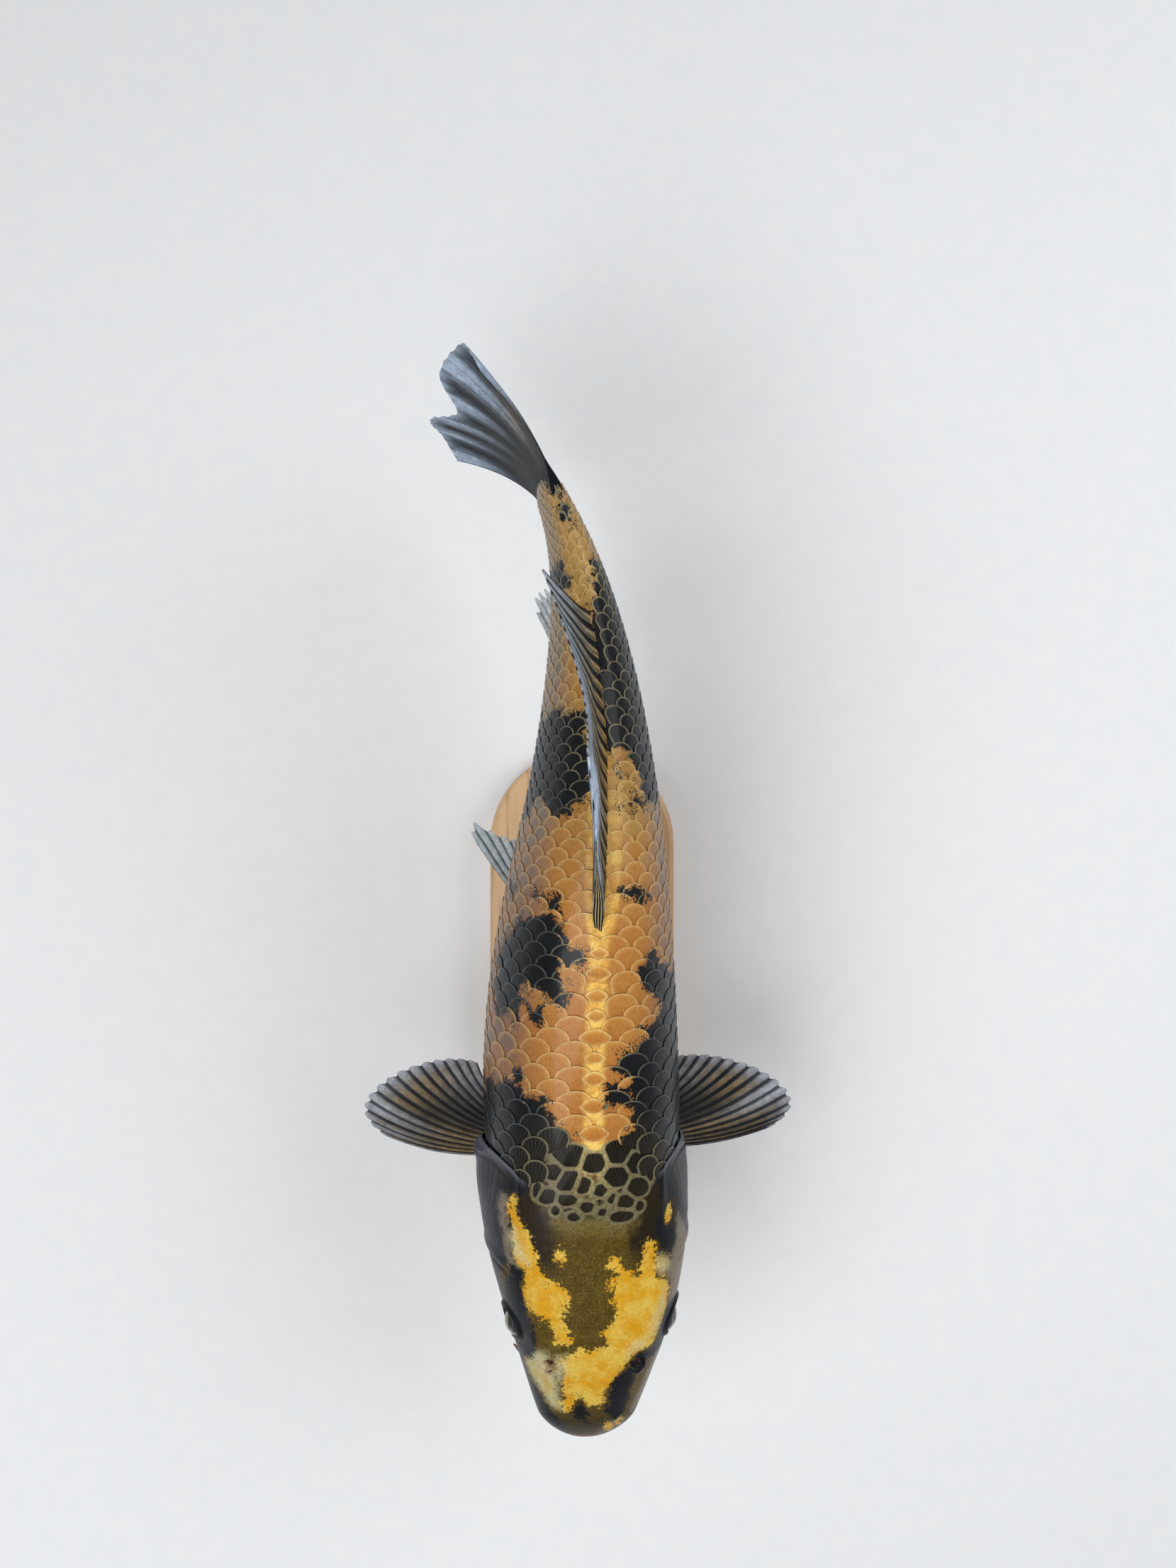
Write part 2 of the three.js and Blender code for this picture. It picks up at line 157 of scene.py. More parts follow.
# Arc length from the back's ridge for each distance and angle, for markings and scales.
arcSteps = 360
arcAngles = np.linspace(0, np.pi, arcSteps + 1)
arcRows = np.arange(body["length"] + 1)
heldRows = np.clip(arcRows, 0.05, body["length"] - 0.05)[:, None]
arcE, arcZ = section(heldRows, arcAngles[None, :], meanHalfWidth)
arcs = np.zeros(arcE.shape)
arcs[:, 1:] = np.cumsum(np.hypot(np.diff(arcE, axis=1), np.diff(arcZ, axis=1)), axis=1)
girth = arcs[:, -1]
shares = np.linspace(0, 1, arcSteps + 1)
anglesByShare = np.array([
    np.interp(shares * total, row, arcAngles) for row, total in zip(arcs, girth)
])


def lookUp(table, s, column):
    s = np.clip(s, 0, body["length"] - 1e-6)
    column = np.clip(column, 0, arcSteps - 1e-6)
    i, j = np.floor(s).astype(int), np.floor(column).astype(int)
    u, v = s - i, column - j
    low = mix(table[i, j], table[i, j + 1], v)
    high = mix(table[i + 1, j], table[i + 1, j + 1], v)
    return mix(low, high, u)


def arcAt(s, angle):
    return np.sign(angle) * lookUp(arcs, s, np.abs(angle) / np.pi * arcSteps)


def girthAt(s):
    return np.interp(s, arcRows, girth)


def angleAt(s, arc):
    share = np.abs(arc) / girthAt(s)
    return np.sign(arc) * lookUp(anglesByShare, s, share * arcSteps)


def fleshPoint(s, angle, halfWidth):
    return place(s, *section(s, angle, halfWidth))


# Outward unit normals of the flesh.
def fleshNormal(s, angle, halfWidth):
    nudge = 0.05
    s = np.clip(s, 2 * nudge, body["length"] - 2 * nudge)
    along = fleshPoint(s + nudge, angle, halfWidth) - fleshPoint(s - nudge, angle, halfWidth)
    around = fleshPoint(s, angle + nudge, halfWidth) - fleshPoint(s, angle - nudge, halfWidth)
    normal = np.cross(around, along)
    return normal / np.linalg.norm(normal, axis=-1, keepdims=True)


def gillEdge(z):
    above = z > gillLine["z"]
    height = np.where(above, gillLine["upper"], gillLine["lower"])
    power = np.where(above, gillLine["upperPower"], gillLine["lowerPower"])
    inside = np.clip(1 - np.abs((z - gillLine["z"]) / height) ** power, 0, 1)
    return gillLine["s"] + gillLine["length"] * inside ** (1 / power)


# Where the gill cover ends, for each angle round the body, found in a few rounds.
def gillEdgeAt(angle):
    s = np.full(np.shape(angle), 110.0)
    for _ in range(12):
        s = mix(s, gillEdge(section(s, angle, headHalfWidth)[1]), 0.6)
    return s


# Markings, as outlines of [distance behind the snout, arc from the ridge]; left is plus.
blackPatches = [
    [[118, -8], [126, -9], [133, -8], [139, -11], [146, -14], [149.5, -20], [150, -27],
     [153, -36], [153, -46], [150, -56], [147, -70], [142, -88], [130, -96], [112, -90],
     [112, -30], [117, -20]],
    [[118, 8], [124, 7], [130, 6], [135, 10], [138, 15], [146, 16], [146.5, 5], [150, 4.5],
     [154, 6], [155, 13], [159, 14], [162, 9], [167, 8], [169, 14], [171, 23], [176, 20],
     [179, 27], [183, 31], [187, 30], [190, 24], [193, 20], [197, 17], [203, 21], [204, 26],
     [199, 28], [198, 36], [198.5, 48], [196, 62], [190, 80], [170, 95], [140, 98], [112, 92],
     [112, 30], [117, 20]],
    [[186, -14], [190, -12], [197, -13], [201, -9], [207, -14], [211, -17], [217, -19], [218, -27],
     [217.5, -40], [213, -46], [207, -52], [203, -60], [199, -62], [196, -55], [189, -60],
     [183, -57], [177, -50], [178, -43], [184, -37], [190, -30], [189, -24], [186, -20]],
    [[262, -8], [270, -7], [290, -6], [298, -8], [297, -18], [297.5, -26], [296, -36], [298, -45],
     [297, -58], [300, -72], [290, -84], [268, -80], [257, -66], [254, -52], [260, -44],
     [263, -38], [258, -32], [257, -24], [259, -16]],
    [[258, 6], [263, 6], [265, 14], [264, 20], [271, 15], [277, 13], [279, 6], [281, 1],
     [289, -2], [310, -2], [340, -1], [343, 3], [351, 3], [355, 6], [357, 14], [358, 24],
     [357, 34], [355, 44], [344, 52], [325, 62], [310, 70], [300, 74], [290, 70], [284, 62],
     [275, 76], [265, 70], [261, 50], [262, 36], [260, 24], [259, 15]],
    [[346, -8], [352, -6], [357, -12], [358, -24], [359, -40], [352, -50], [346, -42], [345, -25]],
    [[370, 1.4], [380, 2.4], [388, 4.2], [396, 11], [396, -11], [386, -4.4], [373, -3]],
    [[379, 43], [384, 34], [389, 20], [396, 14], [396, 60], [380, 60]],
    [[11, 9], [17, 6], [24, 6], [31, 8], [36, 12], [41, 15], [45, 18], [44, 24], [38, 22],
     [33, 17], [26, 16], [17, 15], [12, 13]],
    [[40, 21], [47, 25], [54, 28], [62, 33], [64, 40], [58, 58], [46, 60], [41, 52], [44, 40],
     [42, 30]],
    [[43, -25], [50, -24], [58, -26], [66, -30], [74, -31], [82, -29], [83, -36], [76, -40],
     [66, -43], [60, -54], [48, -56], [41, -46], [41, -36], [40, -29]],
    [[12, -2], [17, -1.5], [22, -4], [23, -6], [19, -7], [14, -6]],
    [[6, -9], [12, -13], [20, -20], [28, -27], [26, -30], [16, -24], [8, -16], [5, -12]],
    [[82, 33], [86, 28], [92, 26], [99, 25], [106, 27], [118, 28], [120, 36], [112, 41], [104, 40],
     [105, 33], [100, 28.5], [94, 29], [94, 35], [88, 36]],
]
blackSpots = [  # centre s and arc, radius along and across
    [203, -7, 3, 2.6], [222, -21, 2.2, 1.8], [225, -30, 2, 1.8], [183, -24, 2.6, 2],
    [158, -32, 2.6, 2.4], [176, -37, 1.3, 1.2], [226, -53, 3.6, 7], [228, 14, 1.2, 2.6],
    [261, 11, 2.6, 4], [275, 6, 1.6, 1.6],
]
goldPatches = [
    [[20, -1.5], [19.5, 3], [22, 6], [27, 4.5], [33, 8], [38, 12], [42, 14], [45, 21], [50, 25.5],
     [57, 28.5], [62, 31], [70, 32], [74, 29], [77, 25], [84, 25], [90, 24.5], [91, 21.5],
     [86, 19], [80, 17], [77.5, 20], [76, 16], [78, 13.5], [79, 11], [85, 8], [86, 5], [82, 5],
     [79, 9], [76, 4], [72, 5.5], [68, 6], [64, 7.5], [60, 7], [56, 3], [50, 4], [47, -2],
     [49, -6], [45, -8], [43, -12], [38, -13], [34, -9], [29, -12], [22, -12], [17, -11],
     [18, -7.5], [22, -6.5], [24, -4]],
    [[49, -11], [53, -9.5], [58, -12.5], [64, -13], [69, -11], [75, -12], [77, -17], [75, -20],
     [79, -19.5], [84, -22], [91, -24], [98, -26], [104, -30], [110, -31], [114, -33],
     [108, -34.5], [100, -34.5], [92, -34], [84, -33], [80, -29], [72, -31], [66, -29], [62, -24],
     [60, -19], [54, -17], [50, -15]],
]
goldSpots = [[88, -14, 2.6, 1.8], [99.5, 32, 3.8, 2.4], [33, -10, 3, 2], [8, 8, 3, 2],
             [12, 12, 2.4, 2]]
creamPatches = [
    [[17, -12], [26, -14], [33, -15], [40, -17], [45, -21], [45, -26], [42, -31], [36, -31],
     [30, -27], [24, -21], [19, -17]],
    [[44, 13], [47, 19], [52, 25], [60, 28.5], [66, 28], [62, 24], [56, 22.5], [50, 20], [47, 14]],
    [[75, 27], [79, 24], [84, 26.5], [82, 31], [78, 31]],
    [[31, -14], [38, -11.5], [45, -12], [43, -15], [36, -17]],
    [[84, -27], [92, -30], [99, -33], [95, -36], [88, -34]],
]
greyPatches = [
    [[62, 31], [70, 33], [77, 28], [82, 30], [86, 36], [98, 39], [92, 46], [80, 52], [66, 56],
     [60, 48], [63, 40]],
    [[82, -30], [88, -35], [98, -36], [108, -36], [113, -40], [104, -45], [94, -42], [86, -40],
     [80, -36]],
    [[15, 18], [25, 22], [36, 26], [45, 30], [40, 38], [25, 36], [14, 28]],
    [[4, 5], [9, 6], [13, 10], [13, 15], [7, 13]],
]
slatePatches = [  # the gill covers
    [[83, -38], [95, -40], [108, -42], [124, -36], [134, -60], [128, -84], [110, -96], [90, -90],
     [74, -70], [76, -52], [80, -43]],
    [[94, 42], [104, 43], [118, 38], [134, 58], [128, 84], [110, 96], [90, 90], [84, 66], [88, 52]],
]
napeCells = [  # the first small scales on the nape: place, arc, half length, half width
    [105.5, 16.7, 2.1, 1.9], [102.3, 10, 2.3, 4.5], [108.2, 11.5, 2.6, 4.1], [110, 6.5, 2.1, 2],
    [104.8, 2.6, 1.5, 2.1], [113.5, 2.8, 2.4, 3.2], [113.2, 17, 3.7, 4.8], [118.5, 9.3, 3.9, 6.2],
    [123, 17.4, 4, 5.4], [128.3, 10, 4.6, 6], [124.5, -0.2, 3.6, 6.4], [107.2, -3, 2.1, 3],
    [103.8, -7.5, 1.8, 2.4], [110.5, -10.2, 2.3, 4.3], [116, -4.5, 3.2, 3.4],
    [106.5, -14, 1.9, 1.6], [111.8, -17.5, 2.8, 3.8], [118, -10, 3.9, 5.8], [121.2, -15.5, 3, 4.6],
    [114, -22, 2.9, 1.8], [122, -23, 3, 2.2], [127.6, -9.5, 4.3, 7], [117.5, 23.5, 2.9, 1.8],
]


# Distance inside an outline in millimetres, minus outside.
def insideOutline(s, arc, outline):
    corners = np.array(outline, float)
    nearest = np.full(s.shape, 1e6)
    crossings = np.zeros(s.shape, int)
    for (s0, a0), (s1, a1) in zip(corners, np.roll(corners, -1, axis=0)):
        ds, da = s1 - s0, a1 - a0
        t = np.clip(((s - s0) * ds + (arc - a0) * da) / (ds * ds + da * da), 0, 1)
        nearest = np.minimum(nearest, np.hypot(s - s0 - t * ds, arc - a0 - t * da))
        if da:
            reach = s0 + (arc - a0) / da * ds
            crossings += ((arc >= a0) != (arc >= a1)) & (s < reach)
    return np.where(crossings % 2 == 1, nearest, -nearest)


def insideSpot(s, arc, spot):
    middleS, middleArc, along, across = spot
    return (1 - np.hypot((s - middleS) / along, (arc - middleArc) / across)) * min(along, across)


def insideAny(s, arc, outlines, spots=()):
    inside = np.full(s.shape, -30.0)
    for outline in outlines:
        inside = np.maximum(inside, insideOutline(s, arc, outline))
    for spot in spots:
        inside = np.maximum(inside, insideSpot(s, arc, spot))
    return inside


# The scales start behind this line, further back towards the sides
scaleStart = through([
    [0, 98], [12, 100], [20, 107], [28, 112], [36, 116], [60, 121], [90, 112], [140, 96],
])
patches = {
    "black": (blackPatches, blackSpots), "gold": (goldPatches, goldSpots), "cream": (creamPatches,),
    "grey": (greyPatches,), "slate": (slatePatches,), "net": ((), napeCells),
}


# Everything that the skin's and scales' colours are worked out from.
def markings(s, arc):
    fields = {name: insideAny(s, arc, *shapes) for name, shapes in patches.items()}
    return {**fields, "behind": s, "around": np.abs(arc), "flank": np.abs(arc) / girthAt(s),
            "head": scaleStart(np.abs(arc)) - s}


def setField(piece, name, values):
    values = np.ascontiguousarray(values, np.float32)
    piece.data.attributes.new(name, "FLOAT", "POINT").data.foreach_set("value", values)


def setFields(piece, fields):
    for name, values in fields.items():
        setField(piece, name, values)


def setPlaces(piece, points):
    piece.data.vertices.foreach_set("co", np.ascontiguousarray(points, np.float32).ravel())
    piece.data.update()


# Puts a piece's points at a height over a surface, in millimetres.
def raiseFrom(piece, surface, normal, height):
    setPlaces(piece, surface + normal * (height * mm)[:, None])


def getPlaces(piece):
    points = np.zeros(len(piece.data.vertices) * 3, np.float32)
    piece.data.vertices.foreach_get("co", points)
    return points.reshape(-1, 3).astype(float)


# Each face corner's point.
def cornersOf(piece):
    corners = np.zeros(len(piece.data.loops), int)
    piece.data.loops.foreach_get("vertex_index", corners)
    return corners


def layOut(piece, across, up):
    flat = piece.data.uv_layers.new(name="OFBake")
    flat.data.foreach_set("uv", np.stack([across, up], -1).astype(np.float32).ravel())


def named(name):
    piece = bpy.context.object
    piece.name = name
    piece.data.name = name
    return piece


def faceOutward():
    bpy.ops.object.mode_set(mode="EDIT")
    bpy.ops.mesh.select_all(action="SELECT")
    bpy.ops.mesh.normals_make_consistent(inside=False)
    bpy.ops.object.mode_set(mode="OBJECT")


sides = ((-1, "right"), (1, "left"))


def standIn(piece, slot, *nodes):
    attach(piece, "root")
    if nodes:
        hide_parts(*nodes)


def paint(red, green, blue):
    channels = [c / 255 for c in (red, green, blue)]
    return [c / 12.92 if c <= 0.04045 else ((c + 0.055) / 1.055) ** 2.4 for c in channels] + [1]


def paints(**hues):
    return {name: paint(*hue) for name, hue in hues.items()}


# Materials: tree and shader are those of the one begun last
def newMaterial(name):
    global tree, shader
    material = bpy.data.materials.new(name)
    material.use_nodes = True
    tree = material.node_tree
    shader = tree.nodes["Principled BSDF"]
    return material


def feed(socket, value):
    if isinstance(value, bpy.types.NodeSocket):
        tree.links.new(value, socket)
    else:
        socket.default_value = value


def finishWith(colour, roughness, specular=0.5, coat=0.0, coatRoughness=0.03):
    feed(shader.inputs["Base Color"], colour)
    feed(shader.inputs["Roughness"], roughness)
    feed(shader.inputs["Specular IOR Level"], specular)
    feed(shader.inputs["Coat Weight"], coat)
    feed(shader.inputs["Coat Roughness"], coatRoughness)


def addNode(kind, inputs=None, **settings):
    node = tree.nodes.new(kind)
    for name, value in settings.items():
        setattr(node, name, value)
    for name, value in (inputs or {}).items():
        feed(node.inputs[name], value)
    return node


def field(name):
    return addNode("ShaderNodeAttribute", attribute_name=name).outputs["Fac"]


def objectPlace():
    return addNode("ShaderNodeTexCoord").outputs["Object"]


def calc(operation, first, second=0.0, third=0.0):
    inputs = {0: first, 1: second, 2: third}
    return addNode("ShaderNodeMath", inputs, operation=operation).outputs[0]


def times(first, second):
    return calc("MULTIPLY", first, second)


def scaled(value, factor, added):
    return calc("MULTIPLY_ADD", value, factor, added)


# The value, moved up and down by a wave that runs round 0.5.
def stirred(value, wave, reach):
    return scaled(calc("SUBTRACT", wave, 0.5), reach, value)


def step(value, low, high, start=0.0, end=1.0):
    inputs = {"Value": value, "From Min": low, "From Max": high, "To Min": start, "To Max": end}
    return addNode("ShaderNodeMapRange", inputs, interpolation_type="SMOOTHSTEP").outputs["Result"]


def blend(share, first, second, mode="MIX"):
    node = addNode("ShaderNodeMix", data_type="RGBA", blend_type=mode)
    for index, value in ((0, share), (6, first), (7, second)):
        feed(node.inputs[index], value)
    return node.outputs[2]


# Coats of colour over a ground, each a share and a colour.
def painted(ground, *coats):
    for share, hue in coats:
        ground = blend(share, ground, hue)
    return ground


def noise(scale, detail=2.0, roughness=0.5, at=None):
    inputs = {"Scale": scale, "Detail": detail, "Roughness": roughness}
    return addNode("ShaderNodeTexNoise", {"Vector": at or objectPlace(), **inputs}).outputs["Fac"]


def mottle(colour, wave, darkest):
    shade = blend(step(wave, 0.3, 0.7), paint(darkest, darkest, darkest), paint(255, 255, 255))
    return blend(1.0, colour, shade, "MULTIPLY")


def bumpOn(height, distance, strength):
    node = addNode("ShaderNodeBump", {"Height": height, "Distance": distance, "Strength": strength})
    feed(shader.inputs["Normal"], node.outputs["Normal"])


# Camera straight above the fish, which swims towards the viewer
view = {
    "place": (0.0029, 0.1002, 0.78),
    "lens": 36.71,
    "lampPower": 11.5,
    "lampPlace": (-0.48, -0.3, 1.25),
    "lampSize": 0.9,
    "fillPower": 7.0,
    "fillPlace": (0.8, 0.35, 0.95),
    "aim": (0, 0.05, 0.13),  # what the lamps point at
    "skyStrength": 0.33,
    "floorHalf": 3.0,
}
camera = bpy.data.cameras.new("camera")
camera.lens = view["lens"]
camera.clip_start = 0.01
cameraObject = bpy.data.objects.new("camera", camera)
cameraObject.location = view["place"]
bpy.context.scene.collection.objects.link(cameraObject)
bpy.context.scene.camera = cameraObject
bpy.context.scene.view_settings.view_transform = "Standard"


def addLamp(name, place, power, size):
    lamp = bpy.data.lights.new(name, "AREA")
    lamp.energy = power
    lamp.size = size
    lampObject = bpy.data.objects.new(name, lamp)
    lampObject.location = place
    bpy.context.scene.collection.objects.link(lampObject)
    towards = np.array(view["aim"]) - np.array(place)
    tilt = math.atan2(math.hypot(towards[0], towards[1]), -towards[2])
    lampObject.rotation_euler = (tilt, 0, math.atan2(towards[1], towards[0]) - math.pi / 2)


addLamp("keyLamp", view["lampPlace"], view["lampPower"], view["lampSize"])
addLamp("fillLamp", view["fillPlace"], view["fillPower"], view["lampSize"])
world = bpy.data.worlds.new("studio")
bpy.context.scene.world = world
world.use_nodes = True
sky = world.node_tree.nodes["Background"]
sky.inputs["Color"].default_value = (1, 1, 1, 1)
sky.inputs["Strength"].default_value = view["skyStrength"]

bpy.ops.mesh.primitive_plane_add(size=2 * view["floorHalf"])
floor = named("floor")
floor.data.materials.append(newMaterial("palePlaster"))
speckle = noise(90, 4, 0.6)
finishWith(blend(speckle, paint(222, 225, 228), paint(230, 232, 234)), 0.75)
print("camera, lamps and floor")


# The body's surface and its outward normal. Depth 0 is the head's width, 1 the trunk's.
def bodySurface(s, angle, depth):
    share = depth[..., None]
    point = mix(fleshPoint(s, angle, headHalfWidth), fleshPoint(s, angle, trunkHalfWidth), share)
    normal = mix(fleshNormal(s, angle, headHalfWidth), fleshNormal(s, angle, trunkHalfWidth), share)
    return point, normal / np.linalg.norm(normal, axis=-1, keepdims=True)


# How far the gill opening cuts in, for each angle: none at the nape and the throat.
def gillOpening(angle):
    degrees = np.degrees(np.abs(angle))
    return smooth(degrees, 34, 47) * (1 - smooth(degrees, 160, 174))


# Share of the way to the trunk that the cover's upper edge lies down.
def gillClose(s, angle, edge):
    degrees = np.degrees(np.abs(angle))
    upper = smooth(degrees, 28, 40) * (1 - smooth(degrees, 66, 92))
    settled = (0.1 + 0.74 * upper) * smooth(s, edge - 34, edge - 3)
    return np.maximum(settled, 0.78 * smooth(s, edge - 10, edge + 0.5) ** 2)


napeDepth = (100, 122)  # here the head's surface runs smoothly into the trunk's

eyeForm = {"s": 54.5, "e": 29.5, "z": 8, "length": 6.6, "depth": 5.2, "height": 6.4}
headForm = {
    "nostril": (38.5, 18.5),  # place and arc
    "pits": [  # depth, place behind the nostril's middle, half length, half width, margin of painted shade
        [2.0, 1.5, 1.3, 1.7, 0.2], [1.5, -2.4, 1.0, 1.2, 0.1],
    ],
    "lip": -13.5,  # level of the mouth line at the snout
    "lipSlope": 0.28,
    "mouthLength": 21,
    "preopercle": 83,
}


# A nostril pit's hollow, 1 in its middle. wider is 1 for the painted shade, which reaches a little
# past the hollow.
def pitShape(s, arc, pit, wider=0):
    depth, behind, halfLength, halfWidth, shadeMargin = pit
    ds, da = s - headForm["nostril"][0] - behind, np.abs(arc) - headForm["nostril"][1]
    halfLength, halfWidth = halfLength + wider * shadeMargin, halfWidth + wider * shadeMargin
    return np.exp(-((ds / halfLength) ** 2) - (da / halfWidth) ** 2)


# Height of the head's modelling over its plain surface, in millimetres.
def headRelief(s, arc, e, z):
    left = arc > 0
    beside = np.abs(arc)
    height = np.zeros(s.shape)

    # eye socket with a skin rim and a shallow furrow round it
    fromEye = np.hypot(s - eyeForm["s"], (z - eyeForm["z"]) / 0.97) + 60 * (np.abs(e) < 20)
    height -= 2.6 * (1 - smooth(fromEye, 4.6, 6.3))
    height += 1.0 * bump(fromEye, 7.2, 1.0)
    height -= 0.4 * bump(fromEye, 9.4, 0.9)
    height -= 0.3 * bump(fromEye, 14.5, 0.9) * smooth(-z, -6, 4)

    # brow, temples and the crown's low crest
    height += 0.9 * bump(beside, 25, 3.6) * smooth(s, 42, 50) * (1 - smooth(s, 66, 78))
    height -= 0.5 * bump(beside, 16, 5) * smooth(s, 44, 56) * (1 - smooth(s, 70, 90))
    height += 0.35 * bump(beside, 0, 5) * smooth(s, 30, 50) * (1 - smooth(s, 84, 96))

    # nostrils: two pits on each side with a flap of skin between them
    ds, da = s - headForm["nostril"][0], beside - headForm["nostril"][1]
    height += 0.55 * bump(np.hypot(ds / 1.15, da), 3.2, 0.8)
    for pit in headForm["pits"]:
        height -= pit[0] * pitShape(s, arc, pit)
    flap = np.exp(-((ds + 0.7 + 0.25 * da) / 0.75) ** 2 - (da / 2.3) ** 2)
    height += np.where(left, 2.4, 1.7) * flap

    # lips, the mouth's slit, and the crease that lets the upper lip slide forward
    front = 1 - smooth(s, headForm["mouthLength"] - 1, headForm["mouthLength"] + 3)
    above = z - headForm["lip"] + headForm["lipSlope"] * s
    height += front * 1.1 * bump(above, 2.2, 1.5)
    height -= front * 2.4 * bump(above, 0, 0.6)
    height += front * 1.0 * bump(above, -2.2, 1.4)
    height -= front * 0.5 * bump(above, -5.2, 0.9)
    height -= (1 - smooth(s, 21, 27)) * 0.7 * bump(above, 6.2, 0.8)
    height += 0.8 * np.exp(-((s - 22) / 2.4) ** 2 - ((above - 3.5) / 2.5) ** 2)

    # cheek plate, its groove, and the gill cover's bones
    cheek = headForm["preopercle"] - 0.011 * (z - 2) ** 2
    band = smooth(beside, 34, 42) * (1 - smooth(-z, 30, 38))
    height -= band * 1.1 * bump(s, cheek, 1.0)
    height += band * 0.7 * bump(s, cheek + 4, 3)
    before = gillEdge(z) - s
    lifted = smooth(beside, 34, 46)
    height += lifted * 0.8 * bump(before, 15, 9) * bump(z, -4, 20)
    height -= lifted * 0.6 * bump(before, 4.6, 0.7)
    height += lifted * 0.5 * bump(before, 1.8, 1.6)
    height -= lifted * 0.8 * bump(z, -22 + 0.25 * (s - 104), 0.8) * smooth(s, 84, 90)
    spokes = np.sin(46 * np.arctan2(z - 12, s - 84))
    height += lifted * 0.08 * spokes * smooth(s, 88, 96) * smooth(before, 4, 8)
    flapSize = np.where(left, 0.9, 1.9)
    height += lifted * flapSize * bump(before, 3.5, 3.6) * bump(z, -8, 13)
    return height


# The skin starts as a ball, whose rings run back from the snout
skinForm = {"columns": 240, "meanEdge": 110, "evenFrom": 230}
foldRings = np.array([  # under the gill covers' edge: shift along the body from it, depth
    [-0.9, 0], [-0.4, 0.03], [-0.05, 0.12], [0.12, 0.26], [0.05, 0.42], [-0.4, 0.58], [-1.2, 0.76],
    [-2.2, 0.98], [-2.7, 1.12], [-2.1, 1.1], [-1.0, 1.03], [0.4, 1.0],
])
snoutRings = 4 * (np.arange(14) / 14) ** 2
headRings = np.concatenate([snoutRings, np.arange(4, 104, 0.5), np.arange(104, 109.4, 0.6)])
stemRings = body["length"] - 10 * (1 - np.arange(1, 9) / 8) ** 2
trunkRings = np.concatenate([np.arange(111, 160, 1.1), np.arange(160, 386, 1.95), stemRings])
ringPlace = np.concatenate([headRings, np.linspace(109.5, 110.9, len(foldRings)), trunkRings])
ringShift = np.concatenate([0 * headRings, foldRings[:, 0], 0 * trunkRings])
ringDepth = np.concatenate([0 * headRings, foldRings[:, 1], 0 * trunkRings + 1])
ringFolds = np.repeat([0, 1, 0], [len(headRings), len(foldRings), len(trunkRings)])
ringCount = len(ringPlace) - 1

bpy.ops.mesh.primitive_uv_sphere_add(segments=skinForm["columns"], ring_count=ringCount, radius=1)
skin = named("skin")
ball = getPlaces(skin)
ring = np.round(np.arccos(np.clip(ball[:, 2], -1, 1)) / np.pi * ringCount).astype(int)
angle = np.arctan2(ball[:, 1], ball[:, 0])
angle[(ring == 0) | (ring == ringCount)] = 0

# distance behind the snout: up to the covers' edge on the head, even again on the trunk
edge = gillEdgeAt(angle)
opening = gillOpening(angle)
u = ringPlace[ring]
meanEdge, evenFrom = skinForm["meanEdge"], skinForm["evenFrom"]
behindEdge = edge + (u - meanEdge) * (evenFrom - edge) / (evenFrom - meanEdge)
s = np.where(u <= meanEdge, u * edge / meanEdge, behindEdge)
close = gillClose(s, angle, edge)
s = np.where(u > evenFrom, u, s)
s = np.where(ringFolds[ring], mix(s, edge + ringShift[ring] * (1 - 0.6 * close), opening), s)
s = np.clip(s, 0, body["length"])

depth = mix(smooth(s, *napeDepth), ringDepth[ring], opening)
point, normal = bodySurface(s, angle, np.maximum(depth, close * opening))
arc = arcAt(s, angle)
e, z = section(s, angle, headHalfWidth)
inset = mix(body["headDepth"], body["coatDepth"], np.minimum(depth, 1))
lift = headRelief(s, arc, e, z) * (1 - np.clip(depth, 0, 1)) - inset
lift[(ring == 0) | (ring == ringCount)] = 0
raiseFrom(skin, point, normal, lift)
onCover = opening * (u < meanEdge + 0.95) * (ringDepth[ring] < 0.3)
setFields(skin, {
    **markings(s, arc),
    "pit": np.maximum(*[pitShape(s, arc, pit, 1) for pit in headForm["pits"]]),
    "coverRim": onCover * bump(edge - s, 0.6, 1.3),
    "coverFlap": onCover * bump(edge - s, 0, 9) * bump(z, -8, 17),
})
faceOutward()
bpy.ops.object.shade_smooth()


# Lays the skin flat: along the rings one way and round the body the other.
def layFlat(piece, along, around):
    corners = cornersOf(piece)
    starts = np.zeros(len(piece.data.polygons), int)
    piece.data.polygons.foreach_get("loop_start", starts)
    turn = around[corners]
    sizes = np.diff(np.append(starts, len(corners)))
    highest = np.repeat(np.maximum.reduceat(turn, starts), sizes)
    layOut(piece, along[corners], np.where(highest - turn > 0.5, turn + 1, turn))


columns = skinForm["columns"]
layFlat(skin, ring / ringCount, np.round((angle / (2 * np.pi) + 0.5) * columns) / (columns + 1))
print("skin:", len(skin.data.vertices), "points")

